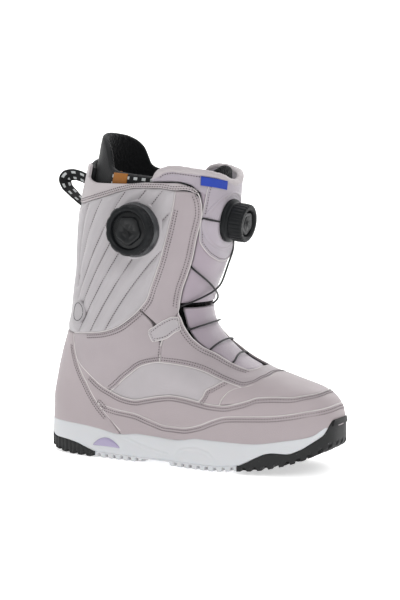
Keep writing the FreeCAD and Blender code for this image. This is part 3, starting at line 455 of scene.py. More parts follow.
def seed_shape(rows, sides):
    """A unit ellipsoid of a few dozen faces, as points and faces."""
    lat = np.linspace(-np.pi / 2, np.pi / 2, rows + 2)[1:-1]
    lon = np.linspace(0, 2 * np.pi, sides, endpoint=False)
    x = np.sin(lat)[:, None] + 0 * lon
    y, z = np.cos(lat)[:, None] * np.cos(lon), np.cos(lat)[:, None] * np.sin(lon)
    points = np.concatenate([np.stack([x, y, z], -1).reshape(-1, 3), [[-1, 0, 0], [1, 0, 0]]])
    ids = np.arange(rows * sides).reshape(rows, sides)
    around = np.concatenate([ids, ids[:, :1]], 1)
    faces = grid_faces(rows, sides + 1, around)[:, ::-1].tolist()
    low, high = rows * sides, rows * sides + 1
    faces += [[low, around[0, k], around[0, k + 1]][::-1] for k in range(sides)]
    faces += [[high, around[-1, k + 1], around[-1, k]][::-1] for k in range(sides)]
    return points, faces


def scattered(name, centres, axes, material, body):
    """An ellipsoid at each centre, with the three rows of axes as its half axes, as one mesh."""
    shape, faces = seed_shape(3, 6)
    points = centres[:, None, :] + np.einsum("kj,njc->nkc", shape, axes)
    base = np.arange(len(centres))[:, None] * len(shape)
    quads, tris = [np.concatenate([base + np.array(f)[None, :] for f in faces if len(f) == corners])
                   for corners in (4, 3)]
    return make(name, points.reshape(-1, 3), quads, material, body, None, (), tris.tolist())


def sown(name, lines, d, sizes, material, body, phase=0.0):
    """One small ellipsoid every pitch along each (q, z) line, laid along it at height d."""
    pitch, half_long, half_wide, half_high = sizes
    centres, axes = [], []
    for line in lines:
        at = by_length(line, pitch)
        if len(at) < 3:
            continue
        normal = frame_at(at[:, 0], at[:, 1])[0]
        p = surface(at[:, 0], at[:, 1]) + normal * d
        t = unit(np.gradient(p, axis=0))
        centres.append(p + t * phase * pitch)
        axes.append(np.stack([t * half_long, np.cross(normal, t) * half_wide, normal * half_high], 1))
    return scattered(name, np.concatenate(centres), np.concatenate(axes), material, body)


def stitched(name, lines, d, body="root"):
    """Rows of thread with a near-black dot between every two stitches: painted shade that stands for the
    needle hole.
    """
    s = bpy.context.scene.boot_sizes
    pitch = s.stitch_pitch * 1000
    sown(name, lines, d, (pitch, 0.28 * pitch, 0.36, 0.28), "thread", body)
    # Near-black ellipsoids between the stitches: painted shade for the needle holes.
    sown(name + "_hole_shade", lines, d - 0.02, (pitch, 0.21 * pitch, 0.5, 0.24), "painted_hole_shade", body, 0.5)


def pair(line, first, second):
    """Two rows beside a line, at two distances."""
    return [beside(line, first), beside(line, second)]


def both_sides(lines):
    return list(lines) + [mirrored(np.asarray(line)) for line in lines]


def turned(name, profile, origin, axis, material, body, wave=None, count=144, slot=None, nodes=()):
    """A profile of (radius, height) points turned about an axis; wave(angle, radius, height) gives
    the radius at each angle, so that ribs and lobes are part of the surface."""
    profile = np.asarray(profile, float)
    axis = unit(axis)
    side = unit(np.cross(axis, [0, 0, 1.0]))
    up = np.cross(side, axis)
    a = np.linspace(0, 2 * np.pi, count, endpoint=False)[None, :]
    r, h = profile[:, :1], profile[:, 1:]
    rr = wave(a, r, h) if wave else r + 0 * a
    points = (origin + (rr * np.cos(a))[..., None] * side + (rr * np.sin(a))[..., None] * up
              + (h + 0 * a)[..., None] * axis)
    faces, caps = ring_faces(len(profile), count)
    edge1, edge2 = points[1:, 0] - points[:-1, 0], points[:-1, 1] - points[:-1, 0]
    outward = np.cross(edge1, edge2)
    away = (points[:-1, 0] - origin) @ side
    k = np.argmax(away + 1e-3 * np.abs(edge1 @ axis))
    if outward[k] @ side < 0:
        faces = faces[:, ::-1]
    else:
        caps = [cap[::-1] for cap in caps]
    return make(name, points.reshape(-1, 3), faces, material, body, None, nodes, caps)


def softened(points, size, count=4):
    """A polyline whose corners are replaced by small quadratic arcs."""
    points = np.asarray(points, float)
    out = [points[:1]]
    for a, b, c in zip(points, points[1:], points[2:]):
        la, lc = np.linalg.norm(a - b), np.linalg.norm(c - b)
        p, r = b + (a - b) * min(size / la, 0.45), b + (c - b) * min(size / lc, 0.45)
        t = np.linspace(0, 1, count)[:, None]
        out.append((1 - t)**2 * p + 2 * t * (1 - t) * b + t**2 * r)
    return np.concatenate(out + [points[-1:]])


# ---- finishes -----------------------------------------------------------------------------------
class Finish:
    """A Principled material: a colour that varies softly, and bumps added one over another."""

    def __init__(self, name, colour, roughness, vary=0.05, size=25.0, **sockets):
        self.material = bpy.data.materials.new("boot_" + name)
        self.material.use_nodes = True
        self.tree = self.material.node_tree
        self.shader = self.tree.nodes["Principled BSDF"]
        self.place = self.add("TexCoord")
        self.shader.inputs["Roughness"].default_value = roughness
        for key, value in sockets.items():
            self.shader.inputs[key.replace("_", " ")].default_value = value
        self.normal = None
        low, high = [tuple(min(c * k, 1) for c in colour[:3]) + (1,) for k in (1 - vary, 1 + vary)]
        self.paint(self.mix(self.noise(1000 / size, 3), low, high))

    def add(self, kind, values=(), **settings):
        node = self.tree.nodes.new("ShaderNode" + kind)
        for key, value in settings.items():
            setattr(node, key, value)
        for key, value in dict(values).items():
            if isinstance(value, bpy.types.NodeSocket):
                self.tree.links.new(value, node.inputs[key])
            else:
                node.inputs[key].default_value = value
        return node

    def noise(self, scale, detail):
        return self.add("TexNoise", {"Vector": self.place.outputs["Object"], "Scale": scale,
                                     "Detail": detail}).outputs[0]

    def cells(self, scale):
        return self.add("TexVoronoi", {"Vector": self.place.outputs["Object"], "Scale": scale}).outputs[0]

    def between(self, value, low, high):
        return self.add("MapRange", {0: value, 1: low, 2: high}).outputs[0]

    def product(self, a, b, kind="MULTIPLY"):
        return self.add("Math", {0: a, 1: b}, operation=kind).outputs[0]

    def bands(self, period, direction, turn=0.0):
        """Waves across the piece's own map, period millimetres apart."""
        turned_map = self.add("Mapping", {0: self.place.outputs["UV"], 2: (0, 0, turn)})
        return self.add("TexWave", {"Vector": turned_map.outputs[0], "Scale": 10 * math.pi / period},
                        bands_direction=direction).outputs["Fac"]

    def weave(self, period, turn=0.0):
        return self.product(self.bands(period, "X", turn), self.bands(period, "Y", turn), "MAXIMUM")

    def mix(self, factor, a, b):
        return self.add("Mix", {0: factor, 6: a, 7: b}, data_type="RGBA").outputs[2]

    def paint(self, colour):
        self.colour = colour
        self.tree.links.new(colour, self.shader.inputs["Base Color"])

    def shade(self, factor, amount):
        """Darkens the colour by amount where factor is 0."""
        dark = self.mix(amount, self.colour, (0, 0, 0, 1))
        self.paint(self.mix(factor, dark, self.colour))

    def bump(self, height, depth):
        """Adds a bump of depth millimetres."""
        values = {"Height": height, "Strength": 1.0, "Distance": depth / 1000}
        if self.normal is not None:
            values["Normal"] = self.normal
        self.normal = self.add("Bump", values).outputs[0]
        self.tree.links.new(self.normal, self.shader.inputs["Normal"])

    def gloss(self, factor, low, high):
        """Lets the roughness run from low to high with factor."""
        self.tree.links.new(self.add("MapRange", {0: factor, 3: low, 4: high}).outputs[0],
                            self.shader.inputs["Roughness"])


def finish(name):
    """The material of this name; the prefix keeps it apart from the frame's own materials."""
    return bpy.data.materials["boot_" + name]


def leather(name, colour, roughness=0.5):
    """Coated leather: small rounded grain, soft stains and a dull, uneven gloss."""
    f = Finish(name, colour, roughness, 0.05, 35, Specular_IOR_Level=0.35, Sheen_Weight=0.12)
    f.bump(f.noise(45, 2), 0.5)
    f.bump(f.cells(900), 0.07)
    f.bump(f.noise(2400, 2), 0.04)
    f.gloss(f.noise(60, 3), roughness - 0.06, roughness + 0.12)
    return f


def cloth(name, colour, roughness, period, sheen, vary=0.04):
    """Woven cloth: crossed threads at the given pitch, with slubs and a soft sheen."""
    f = Finish(name, colour, roughness, vary, 18, Specular_IOR_Level=0.3, Sheen_Weight=sheen)
    threads = f.weave(period)
    f.shade(f.between(threads, 0.35, 0.9), 0.14)
    f.bump(f.noise(60, 2), 0.35)
    f.bump(threads, 0.09)
    f.bump(f.noise(1800, 2), 0.04)
    return f


def moulded(name, colour, roughness, grain=0.05, vary=0.03, **sockets):
    """Moulded rubber, foam or plastic: a fine spark-eroded texture and slight flow marks."""
    f = Finish(name, colour, roughness, vary, 30, **sockets)
    f.bump(f.noise(1500, 3), grain)
    f.gloss(f.noise(90, 3), roughness - 0.05, roughness + 0.08)
    return f


def make_finishes(c):
    """Every material of the boot, from the colours c."""
    leather("coated_leather", c.leather, 0.5)
    leather("collar_leather", c.collar, 0.48)
    leather("binding_leather", [k * 0.97 for k in c.collar], 0.45)
    cloth("satin", c.satin, 0.42, 0.5, 0.25)
    cloth("tongue_satin", c.tongue, 0.3, 0.6, 0.4, 0.06)
    cloth("tongue_centre", c.tongue_centre, 0.36, 0.6, 0.35)
    cloth("quilt_cloth", c.quilt, 0.5, 0.7, 0.3)
    cloth("mesh_textile", c.textile, 0.6, 1.1, 0.2, 0.07)
    cloth("badge_cloth", [k * 0.9 for k in c.quilt], 0.5, 0.5, 0.2)
    cloth("label_cloth", c.label, 0.5, 0.5, 0.1)
    cloth("patch_cloth", c.patch, 0.6, 0.9, 0.1, 0.3)
    piping_finish = Finish("piping_cord", c.piping, 0.45, 0.03, 10)
    piping_finish.bump(piping_finish.bands(1.2, "X"), 0.08)
    thread = Finish("thread", c.thread, 0.55, 0.08, 6, Sheen_Weight=0.2)
    thread.bump(thread.noise(2500, 2), 0.08)
    # Near-black copy of the thread colour: painted shade for the inside of the needle holes.
    hole_shade_finish = Finish("painted_hole_shade", [k * 0.16 for k in c.thread], 0.9, 0.05, 5)
    hole_shade_finish.bump(hole_shade_finish.noise(2000, 2), 0.05)
    moulded("white_foam", c.midsole, 0.42, 0.03, 0.012, Subsurface_Weight=0.05)
    rubber = moulded("black_rubber", c.rubber, 0.55, 0.06, 0.2, Specular_IOR_Level=0.3)
    rubber.bump(rubber.cells(500), 0.06)
    speckled = moulded("speckled_rubber", c.rubber, 0.55, 0.06, 0.2, Specular_IOR_Level=0.3)
    specks = speckled.between(speckled.noise(700, 4), 0.70, 0.73)
    speckled.paint(speckled.mix(specks, speckled.colour, (0.42, 0.42, 0.43, 1)))
    gel = moulded("lilac_gel", c.gel, 0.18, 0.01, 0.04, Coat_Weight=0.5, Transmission_Weight=0.25)
    gel.bump(gel.noise(120, 2), 0.15)
    lining = cloth("dark_lining", c.liner, 0.8, 1.0, 0.1)
    lining.bump(lining.noise(600, 3), 0.1)
    # Painted shade: a dark copy of the leather colour for the linings, standing for the shadow in the seams
    # and gaps between panels.
    cloth("seam_lining", [k * 0.3 for k in c.leather], 0.8, 1.0, 0.1)
    foam = moulded("liner_foam", c.liner, 0.62, 0.08, 0.12, Specular_IOR_Level=0.25, Sheen_Weight=0.05)
    foam.bump(foam.cells(700), 0.12)
    fleece = Finish("fleece", [k * 0.8 for k in c.liner], 0.95, 0.4, 4, Specular_IOR_Level=0.15,
                    Sheen_Weight=0.12)
    fleece.bump(fleece.noise(330, 5), 1.2)
    fleece.bump(fleece.cells(420), 0.8)
    moulded("stiff_plastic", (0.1, 0.1, 0.11), 0.5, 0.05, 0.1)
    web = Finish("webbing", c.liner, 0.7, 0.1, 8, Specular_IOR_Level=0.25)
    rib = web.weave(1.1, math.pi / 4)
    web.bump(rib, 0.25)
    web.shade(web.between(rib, 0.2, 0.8), 0.4)
    dash = web.product(web.between(web.bands(9, "X"), 0.55, 0.6),
                       web.between(web.bands(6.5, "Y"), 0.62, 0.68))
    web.paint(web.mix(dash, web.colour, (0.5, 0.52, 0.52, 1)))
    dial = moulded("dial_black", c.dial, 0.42, 0.035, 0.15, Specular_IOR_Level=0.16)
    dial.bump(dial.cells(1400), 0.03)
    moulded("dial_face", [k * 0.8 for k in c.dial], 0.3, 0.02, 0.1, Specular_IOR_Level=0.3)
    clear = moulded("dial_clear", c.dial_ring, 0.2, 0.015, 0.08, Transmission_Weight=0.15,
                    Specular_IOR_Level=0.6)
    clear.bump(clear.noise(200, 2), 0.06)
    lace = Finish("braided_lace", c.lace, 0.4, 0.15, 5)
    strands = lace.product(lace.bands(0.9, "DIAGONAL"), lace.bands(0.9, "DIAGONAL", math.pi / 2), "MAXIMUM")
    lace.bump(strands, 0.12)
    lace.shade(strands, 0.4)
    floor = Finish("studio_floor", (0.95, 0.95, 0.95), 0.6, 0.004, 900, Emission_Color=(1, 1, 1, 1),
                   Emission_Strength=0.55)
    floor.bump(floor.noise(30, 2), 0.02)


SLOT_FINISH = {"lilac_leather": "coated_leather", "lilac_satin": "satin", "lilac_quilt": "quilt_cloth",
               "grey_textile": "mesh_textile", "white_foam": "white_foam", "black_rubber": "black_rubber",
               "lilac_gel": "lilac_gel", "lining_black": "dark_lining", "liner_foam": "liner_foam",
               "stiff_plastic": "stiff_plastic", "webbing": "webbing", "label_blue": "label_cloth",
               "patch_orange": "patch_cloth", "dial_black": "dial_black", "dial_clear": "dial_clear",
               "lace_black": "braided_lace"}


# ---- settings -----------------------------------------------------------------------------------
def colour(name, description, default):
    return FloatVectorProperty(name=name, description=description, subtype="COLOR", size=3, min=0, max=1,
                               default=default)


def length(name, description, default):
    return FloatProperty(name=name, description=description, subtype="DISTANCE", unit="LENGTH", min=0,
                         default=default)


class BootColours(PropertyGroup):
    leather: colour("Leather", "Rand, bands, heel counter and toe box", (0.365, 0.318, 0.330))
    collar: colour("Collar", "Leather band at the top of the cuff, and the tongue's edge",
                   (0.43, 0.392, 0.402))
    satin: colour("Satin", "Quarters, eyestays and vamp", (0.385, 0.338, 0.355))
    tongue: colour("Tongue", "Shiny cloth of the tongue", (0.36, 0.305, 0.352))
    tongue_centre: colour("Tongue centre", "Middle panel of the tongue", (0.385, 0.345, 0.388))
    quilt: colour("Quilting", "Quilted cuff", (0.42, 0.398, 0.414))
    textile: colour("Textile", "Side inserts and ankle tabs", (0.42, 0.392, 0.408))
    piping: colour("Piping", "Thin cord in the seams", (0.68, 0.645, 0.64))
    thread: colour("Thread", "Seam thread", (0.33, 0.285, 0.298))
    midsole: colour("Midsole", "White foam of the sole", (0.55, 0.555, 0.572))
    rubber: colour("Rubber", "Heel and toe rubber", (0.013, 0.0135, 0.014))
    gel: colour("Gel", "Coloured windows in the sole", (0.42, 0.37, 0.55))
    liner: colour("Liner", "Inner boot and linings", (0.008, 0.0085, 0.0095))
    label: colour("Label", "Woven tab on the tongue", (0.012, 0.045, 0.36))
    patch: colour("Liner patch", "Woven patch on the liner", (0.30, 0.11, 0.012))
    dial: colour("Dials", "Knobs and housings", (0.0075, 0.0085, 0.0095))
    dial_ring: colour("Dial ring", "Base ring of the side dial", (0.04, 0.042, 0.046))
    lace: colour("Laces", "Lace", (0.010, 0.010, 0.012))


class BootSizes(PropertyGroup):
    stitch_pitch: length("Stitch pitch", "Distance between stitches", 0.0024)
    piping: length("Piping radius", "Half the thickness of the cord in the seams", 0.00055)
    quilt_puff: length("Quilt puff", "Height of the quilting between its seams", 0.0016)
    quilt_seam: length("Quilt seam depth", "Depth of the quilting's seams", 0.0013)
    crease: length("Crease height", "Height of the soft unevenness of the panels", 0.00014)
    lace: length("Lace radius", "Half the thickness of the lace", 0.0009)
    front_ribs: IntProperty(name="Front dial ribs", description="Ribs round the front knob", default=30)
    side_lobes: IntProperty(name="Side dial lobes", description="Lobes round the side knob", default=11)
    eye_level: FloatProperty(name="Camera height angle", description="Angle of the camera above the floor",
                             subtype="ANGLE", unit="ROTATION", default=math.radians(5.9))
    eye_turn: FloatProperty(name="Camera turn", description="Angle of the camera round towards the toe",
                            subtype="ANGLE", unit="ROTATION", default=math.radians(27.5))


def sizes():
    return bpy.context.scene.boot_sizes


def uneven(seed, grooves=(), depth=0.35, width=0.9):
    """Relief of a panel: soft creases, less a groove exp(-(distance / width)^2) along each line."""
    lines = [surface(*spaced(line, 60).T) for line in grooves]

    def relief(p, q, z, inset):
        out = creases(p, sizes().crease * 1000, seed)
        for line in lines:
            out = out - depth * np.exp(-(distance_to(p, line) / width)**2)
        return out

    return relief


# ---- pieces -------------------------------------------------------------------------------------
class Piece:
    bl_options = {"REGISTER", "UNDO"}


class BOOT_OT_finishes(Piece, Operator):
    """Makes every material, and gives the frame's own nodes the finish of their slot"""
    bl_idname = "boot.finishes"
    bl_label = "Finishes"

    def execute(self, context):
        make_finishes(context.scene.boot_colours)
        for row in frame["record"]["subparts"]:
            node = frame["nodes"][row["node"]]
            node.data.materials.clear()
            node.data.materials.append(finish(SLOT_FINISH[row["material_slot"]]))
        # The linings take the painted seam shade, a dark copy of the leather, in place of their own black.
        for name in frame["nodes"]:
            if name.startswith("lining"):
                frame["nodes"][name].data.materials[0] = finish("seam_lining")
        frame["nodes"]["toe_tread"].data.materials[0] = finish("speckled_rubber")
        return {"FINISHED"}


class BOOT_OT_lower_bands(Piece, Operator):
    """Rand, upper band and heel counter, with their piping and stitching"""
    bl_idname = "boot.lower_bands"
    bl_label = "Lower bands"

    def execute(self, context):
        start = counter_line[0, 0]
        tucked = -1.2
        rand_rows = pair(rand_edge, -2.2, -4.6)
        panel("rand_panel", "coated_leather", low_edge(start, -start, tucked), rand_edge, RAND,
              nodes=["lower_rand"], relief=uneven(1, rand_rows, ROW_GROOVE))
        band_rows = pair(band_edge[1:-1], -2.2, -4.6)
        low = across(joined(lateral([(-106.4, 89), (-97, 68)]), rand_line), 60.5)
        panel("band_panel", "coated_leather", low, band_edge, BAND,
              nodes=["upper_band"], relief=uneven(2, band_rows, ROW_GROOVE))
        heel_top = joined(quilt_foot[:1], [(-1, 116)], behind(quilt_foot[:1]))
        counter_rows = pair(counter_line[1:-1], 2.4, 4.8)
        foot = low_edge(start, -2 - start, tucked)
        front = joined(foot[:1], counter_line[1:])
        panel("counter_panel", "coated_leather", foot, heel_top, COUNTER, left=front, right=behind(front),
              nodes=["heel_counter"],
              relief=uneven(3, counter_rows + [behind(r) for r in counter_rows], ROW_GROOVE))
        radius = sizes().piping * 1000
        piping("rand_piping", rand_edge, 1.35, radius)
        piping("band_piping", band_edge, 1.35, radius)
        for sign, side in BOTH:
            piping("counter_piping_" + side, side_of(counter_line, sign), 1.5, radius)
        stitched("band_stitching", rand_rows + band_rows, 2.0)
        stitched("counter_stitching", both_sides(counter_rows), 2.46)
        return {"FINISHED"}


class BOOT_OT_toe_and_vamp(Piece, Operator):
    """Toe box, vamp and vamp wings"""
    bl_idname = "boot.toe_and_vamp"
    bl_label = "Toe and vamp"

    def execute(self, context):
        foot = across(lateral([(46, 60.3), (62, 62.5), (72, 65.5), (82, 68.5), (95, 69), (107, 68.5),
                               (117, 69.5)]), 70.5)
        panel("toe_box_panel", "coated_leather", foot, across(toe_line, 84.3), TOE_BOX, left=toe_rear,
              right=mirrored(toe_rear), nodes=["toe_box"], relief=uneven(4))
        seam = lateral([(-13, 95), (-12.5, 112), (-8, 126), (-0.6, 140)])
        front = across(joined(lateral(VAMP_LINE[4:]), toe_line[1:]), 84.3)
        rows = pair(front, 2.2, 4.4)
        throat_rows = pair(throat_low, -2.4, -4.8)
        panel("vamp_panel", "satin", front, across(throat_low, 89.3), VAMP, left=seam,
              right=mirrored(seam), nodes=["vamp"],
              relief=uneven(5, rows + both_sides(throat_rows), ROW_GROOVE))
        wing_foot = lateral([(25, 62), (37, 60.5), (46, 60.3)])
        wing_top = lateral([(47.8, 80.8), (54, 79), (65, 76)])
        for sign, side in BOTH:
            panel("vamp_wing_" + side, "coated_leather", side_of(wing_foot, sign), side_of(wing_top, sign),
                  WING, left=side_of(insert_front, sign), right=side_of(toe_rear, sign),
                  nodes=["vamp_wings"], relief=uneven(6))
            piping("wing_piping_" + side, side_of(toe_rear, sign), 1.5, 0.45)
            piping("insert_piping_" + side, side_of(insert_front, sign), 1.4, 0.45)
        piping("vamp_piping", front, 1.4, 0.5)
        piping("throat_foot_piping", across(throat_low[3:], 89.3), 1.7, 0.5)
        stitched("vamp_stitching", rows + both_sides(throat_rows), 1.95)
        stitched("wing_stitching", both_sides(pair(insert_front, -2.2, -4.2)), 2.0)
        return {"FINISHED"}


class BOOT_OT_sides(Piece, Operator):
    """Textile inserts, quarters, eyestays and ankle tabs on both sides"""
    bl_idname = "boot.sides"
    bl_label = "Sides"

    def execute(self, context):
        insert_foot = lateral([(-69, 63.1)] + BAND_LINE[4:11])
        insert_top = lateral([(-69, 65)] + VAMP_LINE[1:9] + [(47.8, 80.8)])
        quarter_foot = lateral([(-106.6, 91.2), (-93, 76.4), (-81, 68.2), (-70, 64.6)] + VAMP_LINE[1:4]
                               + [(-14.3, 95)])
        quarter_front = lateral([(-14.3, 95), (-13.8, 112), (-21, 127.5), (-33, 142)])
        eyestay_top = lateral([(6.4, 249), (14, 249.3), (22, 248.6)])
        eyestay_right = joined(throat[::-1][:-2], eyestay_top[-1:])
        vamp_rows = pair(vamp_line[:5], 2.2, 4.4)
        quilt_rows = pair(joined(quilt_foot[1:-1], quilt_front[:-1]), -2.4, -4.8)
        facing_rows = pair(throat[1:-1], -2.6, -5.2)
        seam_rows = [beside(lateral([(-13, 97), (-12.5, 112)]), 2.0)]
        ankle_seam = lateral([(-13.7, 95.5), (-13.2, 112), (-11.5, 117)])
        for sign, side in BOTH:
            panel("insert_" + side, "mesh_textile", side_of(insert_foot, sign), side_of(insert_top, sign),
                  INSERT, right=side_of(insert_front, sign),
                  nodes=["side_textile_" + side], relief=uneven(7))
            panel("quarter_panel_" + side, "satin", side_of(quarter_foot, sign), side_of(quilt_foot, sign),
                  QUARTER, right=side_of(quarter_front, sign),
                  nodes=["quarter_" + side],
                  relief=uneven(8, [side_of(r, sign) for r in vamp_rows + quilt_rows], ROW_GROOVE))
            panel("eyestay_panel_" + side, "satin", side_of(eyestay_foot, sign), side_of(eyestay_top, sign),
                  EYESTAY, left=side_of(quilt_front, sign), right=side_of(eyestay_right, sign),
                  nodes=["eyestay_" + side],
                  relief=uneven(9, [side_of(r, sign) for r in quilt_rows + facing_rows], ROW_GROOVE))
            piping("quilt_piping_" + side, side_of(joined(quilt_foot, quilt_front[1:]), sign), 1.3, 0.5)
            piping("ankle_piping_" + side, side_of(ankle_seam, sign), 0.9, 0.8)
            piping("quarter_piping_" + side, side_of(vamp_line, sign), 1.35, 0.5)
            piping("throat_piping_" + side, side_of(joined(throat, throat_low[1:5]), sign), 1.5, 0.5)
        stitched("side_stitching", both_sides(vamp_rows + quilt_rows + facing_rows + seam_rows), 1.98)
        tab_foot = lateral([(-25, 121), (-21, 113.5), (-10, 116), (-2, 122), (2, 125)])
        tab_top = lateral([(-25, 122.5), (-19, 127.5), (-11, 133), (-4, 136), (-0.5, 135)])
        ring = joined(tab_foot, tab_top[::-1], tab_foot[:1])
        for sign, side in BOTH:
            panel("ankle_tab_" + side, "mesh_textile", side_of(tab_foot, sign), side_of(tab_top, sign),
                  TAB, edge=0.8, nodes=["ankle_tabs"], relief=uneven(10))
            piping("tab_piping_" + side, side_of(ring, sign), 2.1, 0.42)
        stitched("tab_stitching", both_sides([beside(tab_foot, 2), beside(tab_top, -2)]), 2.68)
        return {"FINISHED"}


def swept(points):
    """The points' nearest parabola by length, as a smooth line."""
    points = np.asarray(points, float)
    run = run_of(points)
    fine = np.linspace(0, run[-1], 12)
    return np.stack([np.polyval(np.polyfit(run, axis, min(2, len(run) - 1)), fine) for axis in points.T], -1)


class BOOT_OT_quilted_cuff(Piece, Operator):
    """Quilted cuff, backstay, heel badges and the leather collar band"""
    bl_idname = "boot.quilted_cuff"
    bl_label = "Quilted cuff"

    def execute(self, context):
        puff, sunk = sizes().quilt_puff * 1000, sizes().quilt_seam * 1000
        seams = [lateral(swept(s)) for s in QUILT_SEAMS]
        back = np.array([(-0.975, 116), (-0.975, 160), (-0.975, 200), (-0.975, 234)])
        foot, top = joined(back[:1], quilt_foot), joined(back[-1:], quilt_top)
        for sign, side in BOTH:
            rows = [surface(*spaced(side_of(s, sign), 40).T) for s in seams]

            def quilting(p, q, z, inset, rows=rows):
                """Channels: puff * (1 - exp(-(distance to the nearest seam / 5.5)^2)), less a narrow
                groove of the same form along each seam."""
                near = np.min([distance_to(p, row) for row in rows], axis=0)
                near = np.minimum(near, inset + 0.6)
                rise = puff * (1 - np.exp(-(near / 5.5)**2)) - sunk * np.exp(-(near / 1.1)**2)
                return rise + creases(p, 0.25, 11)

            piece = panel("quilt_" + side, "quilt_cloth", side_of(foot, sign), side_of(top, sign),
                          QUILT, left=side_of(back, sign), right=side_of(quilt_front, sign), step=1.1,
                          nodes=["quilted_cuff_" + side], relief=quilting)
        stitched("quilt_stitching", both_sides(seams), 0.75)
        panel("backstay_panel", "coated_leather", [(-0.974, 116), (-1.026, 116)],
              [(-0.974, 234), (-1.026, 234)], BACKSTAY, nodes=["backstay"],
              relief=uneven(12))
        low = joined(lateral([(25.5, 246.5), (15, 250.8), (6.4, 250.3)]), quilt_top[::-1][1:],
                     [(-0.975, 234.2)])
        low = joined(low, behind(low)[::-1])
        high = joined(lateral(COLLAR_EDGE[::-1]), [(-1, 272.5)])
        high = joined(high, behind(high[:-1])[::-1])
        rows = pair(low, -1.6, -3.6)
        panel("collar_band", "collar_leather", low, high, COLLAR, edge=2.0,
              nodes=["cuff_collar"], relief=uneven(13, rows, 0.12))
        stitched("collar_stitching", rows, 2.84)
        angle = np.linspace(0, 2 * np.pi, 25)
        middle = np.array([-0.735, 135.5])
        ring = middle + np.stack([0.052 * np.cos(angle), 10.5 * np.sin(angle)], -1)
        for sign, side in BOTH:
            edge = side_of(ring, sign)
            panel("badge_" + side, "badge_cloth", edge[15:22], edge[3:10][::-1], BADGE,
                  left=edge[9:16][::-1], right=joined(edge[21:], edge[1:4]), edge=1.0, gap=0.0,
                  nodes=["cuff_badges"])
            inner = side_of(middle + (ring - middle) * 0.8, sign)
            piping("badge_ring_" + side, inner, 3.55, 0.3, "dial_black", slot="lining_black")
        return {"FINISHED"}


ROUNDING = 1.5    # width of a dial pad's rounded edge
UNDER_DIAL = 0.3  # how far the pad's seat lies below the dial's foot


def pad_points(origin, axis, seat, rim, rho, phi, low, high):
    """A padded disc on the surface round a dial: the surface point below each (rho, phi), raised
    from low to high at the rim by a quarter ellipse and to the dial's flat seat within seat."""
    a, z = rho * np.cos(phi), origin[2] + rho * np.sin(phi)
    q = q_at_y(origin[1] + a, z) if axis[0] > 0.5 else side_q(origin[0] + a, z)
    t = np.clip((rim - rho) / ROUNDING, 0, 1)
    p = shifted(q, z, low + (high - low) * np.sqrt(1 - (1 - t)**2))
    height = (p - origin) @ axis
    share = np.clip((rim - ROUNDING - rho) / (rim - ROUNDING - seat), 0, 1)
    share = share * share * (3 - 2 * share)
    return p + axis * ((-UNDER_DIAL - height) * share)[..., None]


def dial_pad(name, origin, axis, seat, rim, low, high, material, slot, body, nodes):
    """The pad under a dial, as rings of 96 points from its rim inwards."""
    rho = np.concatenate([rim - ROUNDING * (1 - np.cos(np.linspace(0, np.pi / 2, 6))),
                          np.linspace(rim - ROUNDING, 2, 26)[1:]])
    phi = np.linspace(0, 2 * np.pi, 96, endpoint=False)
    rr, pp = np.meshgrid(rho, phi, indexing="ij")
    points = pad_points(origin, axis, seat, rim, rr, pp, low, high)
    faces, caps = ring_faces(len(rho), 96)
    turn = np.cross(points[8, 0] - points[9, 0], points[9, 1] - points[9, 0])
    if turn @ axis > 0:
        faces = faces[:, ::-1]
    else:
        caps = [cap[::-1] for cap in caps]
    uv = np.stack([rr * np.cos(pp), rr * np.sin(pp)], -1).reshape(-1, 2) / 100
    make(name, points.reshape(-1, 3), faces, material, body, uv, nodes, caps)


def pad_stitches(name, origin, axis, seat, rim, low, high, radius, body, slot):
    """A ring of stitches round a dial's pad, each laid along the ring."""
    count = int(2 * np.pi * radius / (sizes().stitch_pitch * 1000))
    phi = np.linspace(0, 2 * np.pi, count, endpoint=False)
    centres = pad_points(origin, axis, seat, rim, np.full(count, radius), phi, low, high)
    t = unit(np.roll(centres, -1, axis=0) - np.roll(centres, 1, axis=0))
    side = unit(np.cross(axis, t))
    axes = np.stack([t * 0.9, side * 0.36, np.broadcast_to(axis, t.shape) * 0.3], 1)
    scattered(name, centres, axes, "thread", body)


